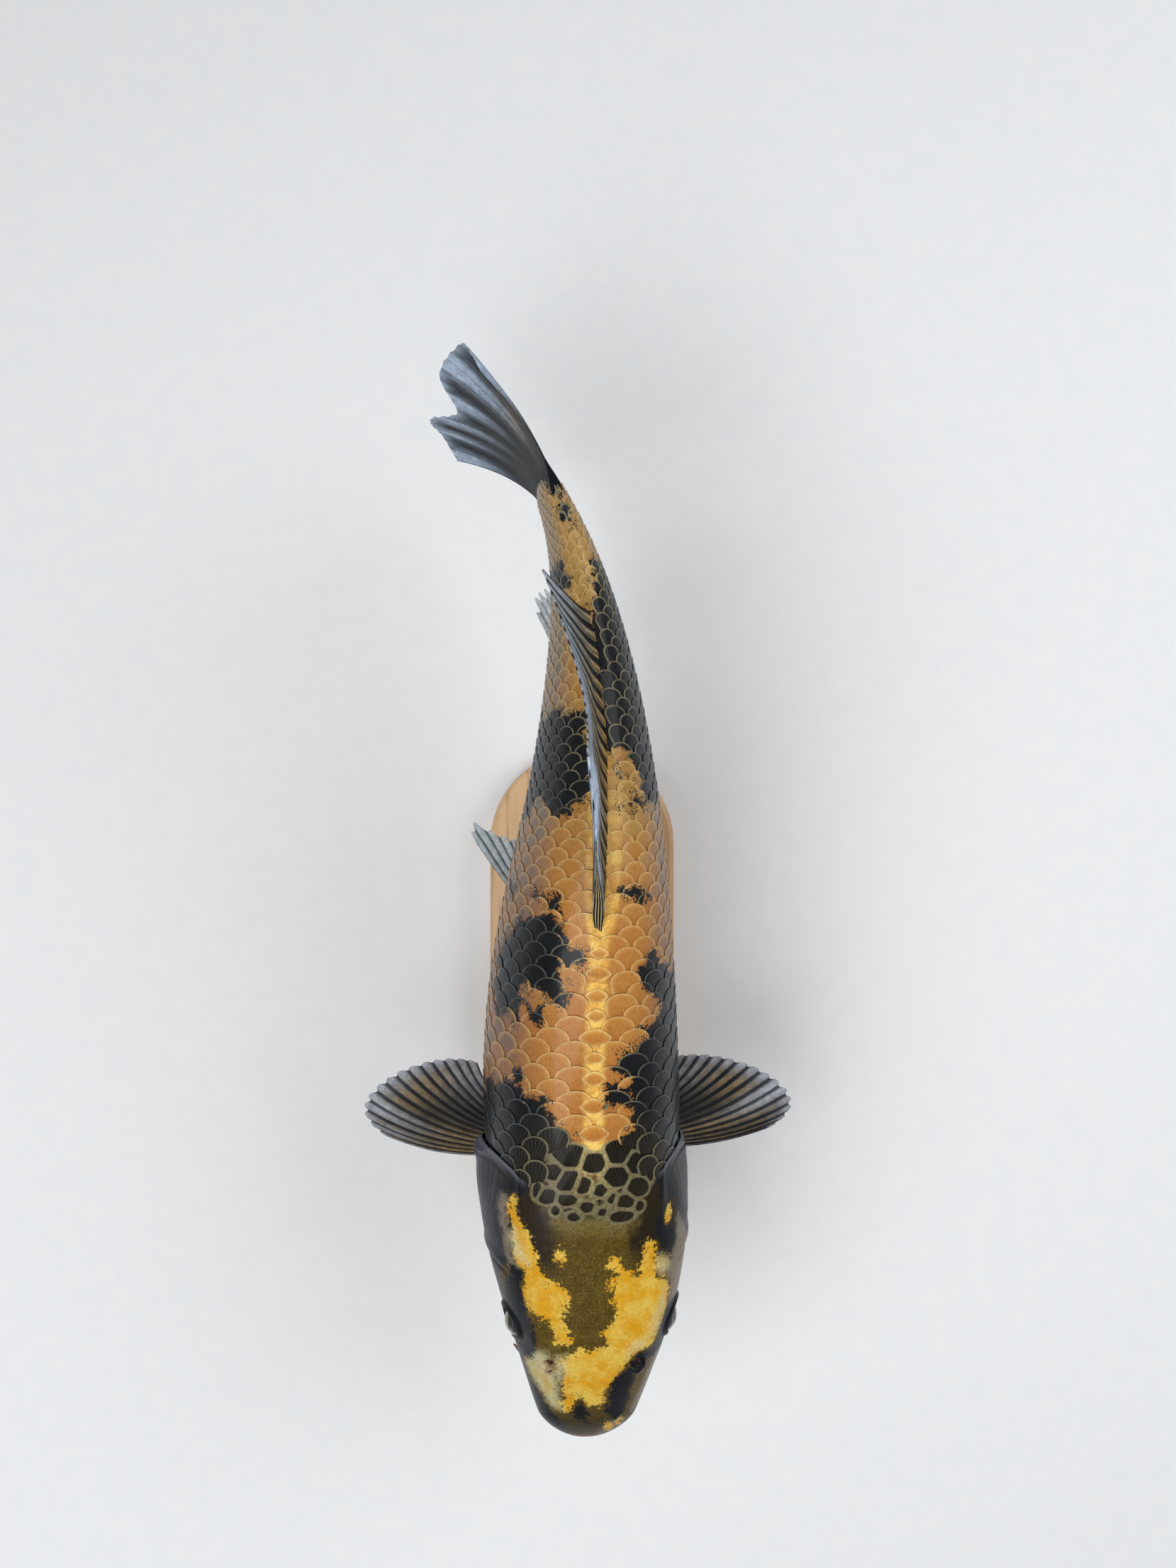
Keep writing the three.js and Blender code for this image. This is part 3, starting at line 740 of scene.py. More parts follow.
# Colours shared by the skin and the scales
hues = paints(
    # trunk
    orange=(184, 128, 62), rust=(176, 112, 50), yellow=(170, 138, 76), stem=(124, 110, 80),
    # the sides' two hues hold painted shade and painted water reflection as well as the sides' own
    # colour
    flank=(114, 94, 80), rearFlank=(112, 109, 98), belly=(206, 190, 160), shoulder=(24, 22, 16),
    ridge=(242, 202, 104), deepRidge=(222, 168, 76),
    # crown
    olive=(84, 66, 14), moss=(94, 78, 26), umber=(50, 40, 12), paleOlive=(118, 104, 58),
    brown=(36, 27, 10), darkGrain=(46, 37, 14), paleGrain=(132, 110, 52), snout=(44, 38, 28),
    # patches
    black=(11, 15, 21), gold=(212, 154, 22), paleGold=(218, 184, 78), cream=(208, 200, 154),
    warmCream=(206, 172, 84), grey=(134, 122, 106), slate=(26, 32, 42), paleSlate=(50, 52, 58),
    brownSlate=(84, 80, 74),
    # nape net, gill covers, nostrils and lips
    net=(118, 111, 82), brightNet=(206, 186, 126), flap=(92, 96, 116), coverRim=(126, 128, 140),
    # the pit hue is painted shade for the nostrils' hollows, the halo round it their own brownish
    # skin
    pitHalo=(136, 98, 72), pit=(44, 20, 12), lip=(136, 84, 44),
)


def coarseGrain():
    return noise(190, 4, 0.6)


def fineGrain():
    return noise(760, 5, 0.75)


# A patch's share, with a torn and speckled edge.
def tornEdge(inside, coarse, fine, reach, sharpness=0.8):
    stretch = 3.4  # the grains seldom stray far from 0.5
    torn = stirred(stirred(inside, coarse, reach * stretch), fine, reach * stretch)
    return step(torn, -sharpness, sharpness)


# All but the black patches. trunkHue, if given, works on the trunk's part of it.
def bodyColour(coarse, fine, trunkHue=None):
    behind, around, flank = field("behind"), field("around"), field("flank")

    # trunk: orange back, sides greyed by painted shade and painted water reflection, pale belly,
    # yellower towards the tail
    rear = step(behind, 200, 285)
    besideFin = scaled(step(behind, 206, 226), -3.0, around)
    ridge = times(step(besideFin, 5.2, 2.2), step(behind, 122, 130))
    ridge = times(ridge, step(behind, 310, 208, 0.15, 1))
    trunk = painted(
        blend(rear, hues["orange"], hues["yellow"]),
        (step(noise(30, 2), 0.38, 0.62, 0, 0.35), hues["rust"]),
        (step(behind, 325, 372, 0, 0.6), hues["stem"]),
        # the sides: their own colour, greyed and darkened by painted shade and painted water
        # reflection
        (step(flank, 0.1, 0.28), blend(rear, hues["flank"], hues["rearFlank"])),
        (step(flank, 0.62, 0.8), hues["belly"]),
        (ridge, blend(step(coarse, 0.4, 0.6), hues["deepRidge"], hues["ridge"])),
    )
    if trunkHue:
        trunk = trunkHue(trunk)
    shoulder = times(step(behind, 128, 114), step(flank, 0.5, 0.36))
    trunk = blend(shoulder, trunk, hues["shoulder"])

    # head: olive crown, paler in front of the net and browner beside the nape
    grain = noise(1300, 3, 0.7)
    besideNape = times(step(stirred(around, coarse, 16), 10, 19), step(behind, 74, 90))
    crown = painted(
        blend(step(coarse, 0.35, 0.65), hues["olive"], hues["moss"]),
        (step(fine, 0.5, 0.72, 0, 0.5), hues["umber"]),
        (step(field("net"), -9, -1.5, 0, 0.85), hues["paleOlive"]),
        (step(grain, 0.5, 0.62, 0, 0.6), hues["darkGrain"]),
        (step(grain, 0.46, 0.36, 0, 0.45), hues["paleGrain"]),
        (step(behind, 22, 9, 0, 0.75), hues["snout"]),
        (besideNape, hues["brown"]),
        (step(flank, 0.3, 0.44), hues["slate"]),
        (step(flank, 0.68, 0.84), hues["belly"]),
    )

    # patches, one over the other
    cloudy = blend(step(noise(110, 4, 0.65), 0.4, 0.66, 0, 0.7), hues["slate"], hues["paleSlate"])
    slateHue = blend(step(fine, 0.56, 0.7, 0, 0.5), cloudy, hues["brownSlate"])
    goldHue = blend(step(noise(120, 4, 0.6), 0.36, 0.64), hues["gold"], hues["paleGold"])
    warm = step(noise(100, 4, 0.65), 0.42, 0.6, 0, 0.75)
    return painted(
        blend(step(field("head"), -7, -2), trunk, crown),
        (times(tornEdge(field("grey"), coarse, fine, 2, 2.5), 0.85), hues["grey"]),
        (tornEdge(field("slate"), coarse, fine, 3, 2.5), slateHue),
        (tornEdge(field("gold"), coarse, fine, 2.4), goldHue),
        (times(tornEdge(field("cream"), coarse, fine, 1.1, 3), 0.8),
         blend(warm, hues["cream"], hues["warmCream"])),
    )


# Small dark specks scattered beside the black patches.
def specks():
    cells = {"Vector": objectPlace(), "Scale": 1500.0}
    dots = addNode("ShaderNodeTexVoronoi", cells).outputs["Distance"]
    near = step(field("black"), -8, 0)
    size = times(times(near, step(noise(160, 2), 0.44, 0.6)), 0.5)
    return step(calc("SUBTRACT", size, stirred(dots, noise(2600, 2), 0.7)), 0, 0.1)


skin.data.materials.append(newMaterial("moistSkin"))
coarse, fine = coarseGrain(), fineGrain()
netHue = blend(step(field("around"), 12, 2, 0, 0.6), hues["net"], hues["brightNet"])
netHue = blend(step(field("behind"), 104, 126), hues["net"], netHue)
netHue = blend(step(fine, 0.38, 0.6), blend(0.5, netHue, hues["olive"]), netHue)
lip = times(step(field("behind"), 4.2, 1.4), step(coarse, 0.38, 0.56, 0.25, 0.85))
colour = painted(
    bodyColour(coarse, fine),
    (step(field("pit"), 0.02, 0.25, 0, 0.6), hues["pitHalo"]),
    (specks(), hues["black"]),
    (tornEdge(field("black"), coarse, fine, 2.4), hues["black"]),
    (step(stirred(field("net"), coarse, 1.6), -1.7, -0.7), netHue),
    (times(field("coverFlap"), 0.7), hues["flap"]),
    (times(field("coverRim"), 0.55), hues["coverRim"]),
    # the dark middle of each nostril pit is painted shade in its hollow
    (step(field("pit"), 0.3, 0.75), hues["pit"]),
    (lip, hues["lip"]),
)
finishWith(mottle(colour, fine, 226), 0.42, specular=0.14, coat=0.1, coatRoughness=0.12)
bumpOn(scaled(noise(420, 3, 0.6), 0.7, times(fine, 0.3)), 0.0004, 0.5)
standIn(skin, "head_skin", "head", "lower_jaw", "gill_cover_left", "gill_cover_right",
        "trunk_front", "trunk_rear", "tail_stem")
print("skin material")

# Scales: rows along the body, each scale rooted in front and free behind
coat = {
    "around": 16,
    "insets": (0.18, 0.34),
    "rearDense": 0.45,  # draws the outline's points towards the rear edge
    "from": 96,
    "to": 391,
    "fin": (208, 336, 2.6),  # bare for the dorsal fin: from, to and arc
    "edgeRow": 0.6,  # scales this near the ridge or the belly's middle lie on it
    "rows": 10,
    "front": 1.05,  # length in front of and behind the widest place, of the pitch along the row
    "behind": 0.56,
    "width": 1.78,  # of the spacing between rows
    "root": -1.35,  # under the body's surface, in millimetres
    "edge": -0.06,
    "ridgeRoot": -0.8,
    "ridgeEdge": 0.04,
    "thickness": 0.22,
    "skew": 0.22,  # near the ridge the scales point towards it, straight back at the lateral line
    "crown": 0.16,
    "flatter": 0.3,  # share of the relief left at the tail
    "flattening": (300, 380),  # where it gets less
    "patch": (0.3, 0.42),  # a scale's patch laid flat, of its pitch and half width
    "flatWidth": 160,  # of both sides laid flat
    "seed": 11,
}
pitch = through([
    [96, 8.2], [128, 8.8], [150, 9.6], [200, 8.6], [235, 7.7], [300, 6.8], [345, 6.1], [390, 5.5],
])
rowsAbove = through([[170, 9], [240, 10], [334, 8]])
rowsBelow = through([[170, 9], [240, 10], [325, 8]])
coatStart = through([
    [0, 206], [4, 206], [4.5, 131], [8, 132], [14, 129], [20, 123], [24, 118], [36, 117],
    [60, 121], [90, 112], [140, 98],
])
ridgeScales = [  # on the ridge in front of the dorsal fin: place, half length, half width
    [136.0, 3.7, 6.2], [146.8, 3.4, 5.6], [157.5, 3.0, 5.0], [165.4, 2.6, 4.4], [173.2, 3.7, 6.6],
    [181.6, 2.7, 4.2], [189.2, 2.8, 4.6], [197.8, 3.0, 5.4], [205.4, 2.4, 3.8],
]


# Arc and spacing of a row: row 0 runs along the lateral line, plus is above it.
def rowAt(s, row):
    lateral, total = float(arcAt(s, math.pi / 2)), float(girthAt(s))
    above, below = float(rowsAbove(s)), float(rowsBelow(s))
    if row >= 0:
        return lateral * (1 - row / above), lateral / above
    return lateral + (total - lateral) * (-row / below), (total - lateral) / below


# All scales of one side: place, arc, slope of the row, half lengths, half width, heights of
# the root and the edge, tone, and whether it is on the lateral line or the ridge.
def scaleList(side):
    rng = np.random.default_rng(coat["seed"] + (side > 0))
    finFrom, finTo, finArc = coat["fin"]
    places = [float(coat["from"])]
    while places[-1] < coat["to"]:
        places.append(places[-1] + float(pitch(places[-1])))
    found = []
    for row in range(-coat["rows"], coat["rows"] + 1):
        for s in places:
            s = s + (0.5 * float(pitch(s)) if row % 2 else 0)
            if s > coat["to"]:
                continue
            arc, spacing = rowAt(s, row)
            total, edgeRow = float(girthAt(s)), coat["edgeRow"]
            onRidge, onBelly = arc < edgeRow, arc > total - edgeRow
            inFin = finFrom < s < finTo and arc < finArc
            if arc < -edgeRow or arc > total + edgeRow or inFin or s < coatStart(arc):
                continue
            if (onRidge or onBelly) and side < 0 or onRidge and s < finTo:
                continue
            length = float(pitch(s)) * rng.uniform(0.96, 1.05)
            behind, front = coat["behind"] * length, coat["front"] * length
            half = 0.5 * coat["width"] * spacing * rng.uniform(0.97, 1.04)
            half *= mix(0.84, 1, smooth(s, 120, 142))
            jitter = rng.uniform(-0.25, 0.25, 2)
            skew = coat["skew"] * min(max(row, 0) / 6, 1) * (not onRidge)
            slope = side * (rowAt(s + 1, row)[0] - arc - skew)
            found.append([
                s + jitter[0], side * (arc + jitter[1] * (not onRidge)), slope, front, behind, half,
                coat["root"], coat["edge"], rng.uniform(), row == 0, 0,
            ])
    if side > 0:
        for s, length, half in ridgeScales:
            heights = [coat["ridgeRoot"], coat["ridgeEdge"]]
            found.append([s, 0, 0, length, length, half, *heights, rng.uniform(), False, 1])
    return np.array(found, float)


# Round plates in a row, each inset twice towards its middle. Gives each point's plate,
# place on it and whether it is on its top.
def roundPlates(name, count, around, insets):
    apart = 3.0
    bpy.ops.mesh.primitive_circle_add(vertices=around, radius=1, fill_type="NGON")
    bpy.ops.object.mode_set(mode="EDIT")
    bpy.ops.mesh.extrude_region_move(TRANSFORM_OT_translate={"value": (0, 0, 1)})
    for inset in insets:
        bpy.ops.mesh.inset(thickness=inset)
    bpy.ops.object.mode_set(mode="OBJECT")
    faceOutward()
    piece = named(name)
    rows = piece.modifiers.new("rows", "ARRAY")
    rows.count = count
    rows.use_relative_offset = False
    rows.use_constant_offset = True
    rows.constant_offset_displace = (apart, 0, 0)
    bpy.ops.object.modifier_apply(modifier=rows.name)
    x, y, z = getPlaces(piece).T
    which = np.round(x / apart).astype(int)
    return piece, which, x - apart * which, y, z > 0.5


# Each scale keeps a patch of its own on the body's unrolled shape.
def layScales(piece, along, around):
    corners = cornersOf(piece)
    layOut(piece, along[corners] / body["totalLength"], around[corners] / coat["flatWidth"])


def buildScales(name, side):
    scales = scaleList(side)
    piece, which, x, y, top = roundPlates(name, len(scales), coat["around"], coat["insets"])
    s0, arc0, slope, front, behind, half, root, edge, tone, lateral, onRidge = scales[which].T
    radius, turn = np.hypot(x, y), np.arctan2(y, x)
    turn -= coat["rearDense"] * np.sin(turn)
    x, y = radius * np.cos(turn), radius * np.sin(turn)
    x = np.where(onRidge > 0, x * np.abs(np.cos(turn)) ** 0.7, x)
    ds = x * np.where(x > 0, behind, front)
    s = s0 + ds
    arc = arc0 + slope * ds + y * half
    share = (ds + front) / (front + behind)
    relief = mix(1, coat["flatter"], smooth(s0, *coat["flattening"]))
    height = mix(root, edge, share) * mix(0.5, 1, relief) - 0.05 * (1 - relief)
    height += relief * (coat["crown"] * (1 - radius**2)) - coat["thickness"] * ~top
    angle = angleAt(s, arc)
    depth = mix(smooth(s, *napeDepth), 1, gillOpening(angle))
    raiseFrom(piece, *bodySurface(s, angle, depth), height)
    setFields(piece, {
        **markings(s, arc),
        "rim": (1 - radius) * np.minimum(half, 0.5 * (front + behind)),
        "fan": np.arctan2(y * half, ds + front + 0.5),
        "out": share,
        "tone": tone,
        "onRidge": onRidge,
        "pore": lateral * bump(y, 0, 0.14) * bump(share, 0.66, 0.16),
    })
    along, around = coat["patch"]
    layScales(piece, s0 + x * along * pitch(s0), np.abs(arc0) + y * around * half)
    bpy.ops.object.shade_smooth_by_angle(angle=math.radians(50))
    return piece


scaleHues = paints(
    ridgeFill=(206, 132, 46), toned=(176, 110, 44), shaded=(160, 96, 38), stripe=(150, 84, 30),
    glow=(212, 168, 98), paleRim=(232, 200, 140), blackFill=(7, 10, 15), sootFill=(20, 23, 26),
    napeStripe=(58, 48, 28), darkRim=(74, 78, 82), backRim=(128, 120, 92), napeRim=(112, 106, 82),
    pore=(60, 46, 32),
)
scaleMaterial = newMaterial("wetScales")
coarse, fine = coarseGrain(), fineGrain()
rim, tone, onRidge = field("rim"), field("tone"), field("onRidge")
stripes = calc("SINE", times(field("fan"), 46.0))
stripeShare = step(stripes, -0.6, 0.9)


# The trunk's hue on a scale: deeper at the root, striped, with a pale broken rim.
def fillAndRim(trunk):
    trunk = blend(times(onRidge, step(rim, 0.4, 1.7, 0.1, 0.85)), trunk, scaleHues["ridgeFill"])
    front = step(field("behind"), 280, 350, 1, 0.3)
    fill = painted(
        trunk,
        (times(step(tone, 0, 1, 0, 0.4), front), scaleHues["toned"]),
        (times(step(field("out"), 0.75, 0.35, 0, 0.4), front), scaleHues["shaded"]),
        (times(stripeShare, scaled(onRidge, 0.35, 0.1)), scaleHues["stripe"]),
        (step(rim, 2.6, 0.6, 0, 0.3), scaleHues["glow"]),
    )
    onFlank = step(field("flank"), 0.12, 0.3, 1, 0.5)
    softer = times(step(field("behind"), 335, 378, 1, 0.55), onFlank)
    rimShare = times(step(rim, 0.95, 0.2), softer)
    broken = step(coarse, 0.34, 0.58, 0.4, 0.9)
    return blend(times(rimShare, broken), fill, blend(0.5, trunk, scaleHues["paleRim"]))


# black scales, each with a grey rim that is broken except on the nape
nearNape, nearBack = step(field("net"), -16, -2), step(field("around"), 26, 8)
darkFill = blend(tone, scaleHues["blackFill"], scaleHues["sootFill"])
darkFill = blend(times(stripeShare, times(nearNape, 0.7)), darkFill, scaleHues["napeStripe"])
darkRim = blend(nearBack, scaleHues["darkRim"], scaleHues["backRim"])
darkRim = blend(nearNape, darkRim, scaleHues["napeRim"])
rimBroken = times(step(rim, 1.0, 0.3), step(coarse, 0.32, 0.6, 0.5, 1))
rimBroken = calc("MAXIMUM", rimBroken, times(step(rim, 1.1, 0.4), nearNape))
black = tornEdge(stirred(field("black"), tone, 6.0), coarse, fine, 2.4)
colour = painted(
    bodyColour(coarse, fine, fillAndRim),
    (specks(), hues["black"]),
    (black, blend(rimBroken, darkFill, darkRim)),
    (field("pore"), scaleHues["pore"]),
)
finishWith(mottle(colour, fine, 226), 0.38, specular=0.15, coat=0.13, coatRoughness=0.1)
bumpOn(scaled(stripes, 0.12, noise(500, 2)), 0.0002, 0.5)
for side, sideName in sides:
    piece = buildScales("scales_" + sideName, side)
    piece.data.materials.append(scaleMaterial)
    standIn(piece, "scaled_skin")
    print("scales", sideName, len(piece.data.polygons), "faces")

# Nape cells: the first small scales, which grow apart in the skin and leave a pale net
# between them. Each one reaches to the middle between it and its neighbours.
nape = {
    "around": 24,
    "insets": (0.2, 0.4),
    "gap": 0.8,  # between cells, wider at the ridge
    "gapAtRidge": 1.9,
    "grow": 1.12,
    "rise": 0.2,
    "patch": 1.2,  # half size of a cell's patch when laid flat
    "rightSide": 96,  # where the right side's patches start
}
cells = np.array(napeCells, float)
piece, which, x, y, top = roundPlates("nape_cells", len(cells), nape["around"], nape["insets"])
radius, turn = np.hypot(x, y), np.arctan2(y, x)
middleS, middleArc, cellLength, cellWidth = cells[which].T
limit = nape["grow"] / np.hypot(np.cos(turn) / cellLength, np.sin(turn) / cellWidth)
gap = mix(nape["gapAtRidge"], nape["gap"], smooth(np.abs(middleArc), 3, 14))
for otherS, otherArc, otherLength, otherWidth in cells:
    ds, da = otherS - middleS, otherArc - middleArc
    apart = np.maximum(np.hypot(ds, da), 1e-6)
    towards = (np.cos(turn) * ds + np.sin(turn) * da) / apart
    own = 1 / np.maximum(np.hypot(ds / cellLength, da / cellWidth) / apart, 1e-6)
    theirs = 1 / np.maximum(np.hypot(ds / otherLength, da / otherWidth) / apart, 1e-6)
    border = apart * own / (own + theirs) - gap / 2
    reach = np.where((towards > 0.05) & (apart > 1e-3), border / np.maximum(towards, 0.05), 99)
    limit = np.minimum(limit, reach)
s = middleS + radius * limit * np.cos(turn)
arc = middleArc + radius * limit * np.sin(turn)
depth = smooth(s, *napeDepth)
height = np.where(top, nape["rise"] * (1.2 - radius**2), -0.3)
height -= mix(body["headDepth"], body["coatDepth"], depth)
raiseFrom(piece, *bodySurface(s, angleAt(s, arc), depth), height)
setFields(piece, {
    "rim": (1 - radius) * limit,
    "fan": np.arctan2(arc - middleArc, s - middleS + cellLength + 0.5),
    "black": markings(s, arc)["black"],
})
patchAround = np.abs(middleArc) + y * nape["patch"] + nape["rightSide"] * (middleArc < 0)
layScales(piece, middleS + x * nape["patch"], patchAround)
bpy.ops.object.shade_smooth_by_angle(angle=math.radians(50))

cellHues = paints(fill=(22, 18, 9), dark=(12, 12, 10), stripe=(92, 78, 44), rim=(140, 132, 104))
piece.data.materials.append(newMaterial("napeCells"))
stripes = calc("SINE", times(field("fan"), 40.0))
colour = painted(
    cellHues["fill"],
    (step(field("black"), -6, 2), cellHues["dark"]),
    (step(stripes, 0, 1, 0, 0.22), cellHues["stripe"]),
    (step(field("rim"), 0.5, 0.05, 0, 0.6), cellHues["rim"]),
    (step(fineGrain(), 0.45, 0.7, 0, 0.6), cellHues["dark"]),
)
finishWith(colour, 0.4, specular=0.12, coat=0.08)
bumpOn(stripes, 0.0001, 0.5)
standIn(piece, "scaled_skin")
print("nape cells")

# Fins: fans of soft rays, folded into pleats. k runs from the leading ray to the last and t
# out along a ray. lean and fan are angles in degrees.
def rootOn(line, front, rear, sunk):
    return lambda k: (mix(front, rear, k), 0, line(mix(front, rear, k)) - sunk)


def rootLine(front, rear):
    return lambda k: [mix(start, end, k) for start, end in zip(front, rear)]


# dusk, the pale patches and tan are soft patches: [k, t, half width in k, half width in t,
# strength]
# the pale patches are the fins' pale tips, and painted light where the dorsal's front membrane is
# lit
usualFin = {
    "out": 1, "growth": 1, "curl": 6, "sway": lambda k, t: 0, "bundle": 0, "clear": 0.3, "lines": 3,
    "thinnest": 0.5, "ray": 0.5, "thickest": 8.0,
}
pectoralFin = {
    "curl": 30, "base": 4, "rays": 14, "crowd": 0.78, "pleat": 0.4, "ragged": 0.006, "rows": 38,
    "reach": [[0, 54], [0.07, 62], [0.15, 65.5], [0.25, 64], [0.4, 58], [0.6, 48], [0.8, 38],
              [1, 28]],
    "gap": (0.2, 0.62),
    "colours": paints(dark=(18, 22, 28), middle=(86, 82, 74), tan=(160, 136, 94),
                      pale=(200, 208, 222), line=(30, 24, 18)),
}
pelvicFin = {
    "base": 3, "rays": 8, "crowd": 0.9, "pleat": 0.4, "scallop": 0.06, "ragged": 0.02, "rows": 32,
    "reach": [[0, 52], [0.12, 58], [0.3, 48], [0.5, 40], [0.75, 33], [1, 27]],
    "gap": (0.15, 0.6),
    "dusk": [[0.5, 0.2, 0.6, 0.3, 0.6]],
    "paleAndLit": [[0.4, 0.9, 0.8, 0.6, 1.1]],
    "tan": [[0.1, 0.5, 0.1, 0.5, 0.5]],
    "colours": paints(dark=(44, 52, 58), middle=(142, 154, 160), tan=(186, 176, 144),
                      pale=(214, 226, 234), line=(44, 50, 54)),
}
caudalSway = through([
    [0, -11], [0.12, -14], [0.3, -23], [0.5, -20], [0.7, -28.5], [0.88, -25], [1, -23],
])
fins = {
    "dorsal_fin": {
        "root": rootOn(backLine, 209, 333, 4), "fan": (57, 38), "curl": 8,
        "lean": [[0, -14], [0.1, -18], [0.5, -24], [0.75, -34], [1, -52]],
        "reach": [[0, 44], [0.04, 57], [0.1, 65], [0.2, 60], [0.35, 50], [0.5, 44], [0.75, 38],
                  [1, 31]],
        "base": 4.0, "bundle": 3.6, "rays": 20, "crowd": 0.9, "pleat": 0.26, "scallop": 0.03,
        "ragged": 0.012, "rows": 40, "clear": 0.2, "lines": 2, "gap": (0.3, 0.62),
        "dusk": [[0.05, 0.16, 0.13, 0.3, 1.4], [0.5, 0.7, 0.5, 0.16, 0.35],
                 [0.42, 0.6, 0.07, 0.3, 0.8]],
        # the pale patches along the front rays are painted light on the lit membrane, the others
        # pale edges
        "paleAndLit": [[0.03, 0.95, 0.05, 0.3, 1.6], [0.07, 0.3, 0.08, 0.16, 0.5],
                   [0.08, 0.84, 0.06, 0.2, 2.4], [0.16, 0.7, 0.08, 0.2, 2.6],
                   [0.24, 0.58, 0.08, 0.2, 2.6], [0.31, 0.44, 0.05, 0.16, 1.4],
                   [0.98, 0.95, 0.16, 0.4, 0.7], [0.55, 0.85, 0.4, 0.2, 0.6]],
        "tan": [[0.5, 0.02, 0.6, 0.3, 1], [0.6, 0.42, 0.3, 0.14, 0.4]],
        "colours": paints(dark=(16, 17, 18), middle=(128, 128, 118), tan=(170, 134, 70),
                          pale=(208, 226, 250), line=(24, 20, 16), thread=(196, 178, 136)),
    },
    "anal_fin": {
        "root": rootOn(bellyLine, 300, 322, -4), "fan": (57, 74), "out": -1,
        "lean": [[0, 35], [1, 24]],
        "reach": [[0, 47], [0.12, 55], [0.3, 54], [0.5, 49], [0.75, 41], [1, 33]],
        "base": 2.4, "rays": 7, "crowd": 1, "pleat": 0.5, "scallop": 0.1, "ragged": 0.03,
        "rows": 34, "clear": 0.35, "gap": (0.1, 0.5),
        "dusk": [[0.3, 0.1, 0.5, 0.4, 0.5]],
        "paleAndLit": [[0.5, 0.9, 0.9, 0.6, 1]],
        "tan": [[0.4, 0.3, 0.3, 0.4, 0.4]],
        "colours": paints(dark=(96, 104, 112), middle=(160, 168, 172), tan=(188, 168, 132),
                          pale=(220, 228, 234), line=(84, 86, 92)),
    },
    "caudal_fin": {
        "root": lambda k: (384 + 3 * np.sin(np.pi * k), 0, mix(22, -22, k)), "fan": (60, 120),
        "lean": [[0, 0], [1, 0]], "curl": 0, "sway": lambda k, t: caudalSway(k) * t**2.1,
        "reach": [[0, 56], [0.05, 65], [0.12, 67], [0.3, 60], [0.5, 47], [0.7, 56], [0.88, 56],
                  [0.96, 53], [1, 49]],
        "base": 4.6, "rays": 19, "crowd": 1, "pleat": 0.2, "scallop": 0.008, "ragged": 0.004,
        "rows": 44, "clear": 0.25, "lines": 2, "gap": (0.0, 0.3),
        "dusk": [[0.06, 0.3, 0.2, 0.4, 1.6], [0.13, 0.8, 0.045, 0.5, 1.3],
                 [0.32, 0.7, 0.075, 0.5, 1.3], [0.53, 0.5, 0.06, 0.4, 1.1],
                 [0.73, 0.72, 0.06, 0.45, 1.1], [0.9, 0.6, 0.05, 0.45, 1.1],
                 [0.4, 0.28, 0.7, 0.36, 1.5]],
        "paleAndLit": [[0.22, 1, 0.05, 0.42, 1.5], [0.42, 1, 0.045, 0.3, 1.3],
                   [0.63, 0.95, 0.045, 0.3, 1.2], [0.81, 1, 0.04, 0.3, 1.2],
                   [0.98, 0.95, 0.04, 0.3, 1.1], [0.5, 1.04, 0.8, 0.08, 1.2],
                   [0.0, 1.02, 0.06, 0.34, 1.3]],
        "tan": [[0.06, 0.68, 0.05, 0.1, 1.2], [0.2, 0.5, 0.07, 0.16, 0.8],
                [0.5, 0, 0.5, 0.07, 0.8]],
        "colours": paints(dark=(10, 14, 20), middle=(48, 53, 56), tan=(140, 120, 76),
                          pale=(188, 208, 234), line=(48, 50, 50)),
    },
    "pectoral_fin_right": {
        **pectoralFin, "root": rootLine((114, -29, -27), (128, -26, -33)),
        "lean": [[0, -97], [1, -97]], "fan": (-6, 41), "growth": 0.965, "scallop": 0.03,
        "dusk": [[0.6, 0.3, 0.4, 0.42, 1], [0.03, 0.4, 0.03, 0.6, 0.9],
                 [0.34, 0.5, 0.13, 0.45, 0.9]],
        "paleAndLit": [[0.5, 1.05, 0.8, 0.13, 1.1], [0.2, 0.9, 0.05, 0.28, 0.9],
                   [0.08, 0.9, 0.03, 0.28, 0.7], [0.9, 0.8, 0.25, 0.35, 0.45],
                   [0, 0.6, 0.012, 0.8, 0.9]],
        "tan": [[0.07, 0.2, 0.05, 0.6, 0.9], [0.2, 0.25, 0.14, 0.4, 0.7],
                [0.55, 0.82, 0.5, 0.16, 0.75]],
    },
    "pectoral_fin_left": {
        **pectoralFin, "root": rootLine((114, 29, -27), (128, 26, -33)),
        "lean": [[0, 97], [1, 97]], "fan": (-12, 35), "growth": 1.05, "scallop": 0.028,
        "dusk": [[0.6, 0.35, 0.36, 0.38, 0.9], [0.03, 0.4, 0.03, 0.6, 0.9],
                 [0.38, 0.5, 0.09, 0.45, 0.8]],
        "paleAndLit": [[0.5, 1.05, 0.8, 0.13, 1.1], [0.27, 0.95, 0.07, 0.3, 1],
                   [0.9, 0.8, 0.25, 0.35, 0.45], [0, 0.6, 0.012, 0.8, 0.9]],
        "tan": [[0.07, 0.2, 0.05, 0.6, 0.9], [0.22, 0.45, 0.08, 0.5, 0.95],
                [0.55, 0.8, 0.5, 0.18, 0.75]],
    },
    "pelvic_fin_right": {
        **pelvicFin, "root": rootLine((203, -13, -47), (212, -9, -49)),
        "lean": [[0, -113], [1, -113]], "fan": (44, 72),
    },
    "pelvic_fin_left": {
        **pelvicFin, "root": rootLine((203, 13, -47), (212, 9, -49)),
        "lean": [[0, 136], [1, 136]], "fan": (60, 84),
    },
}


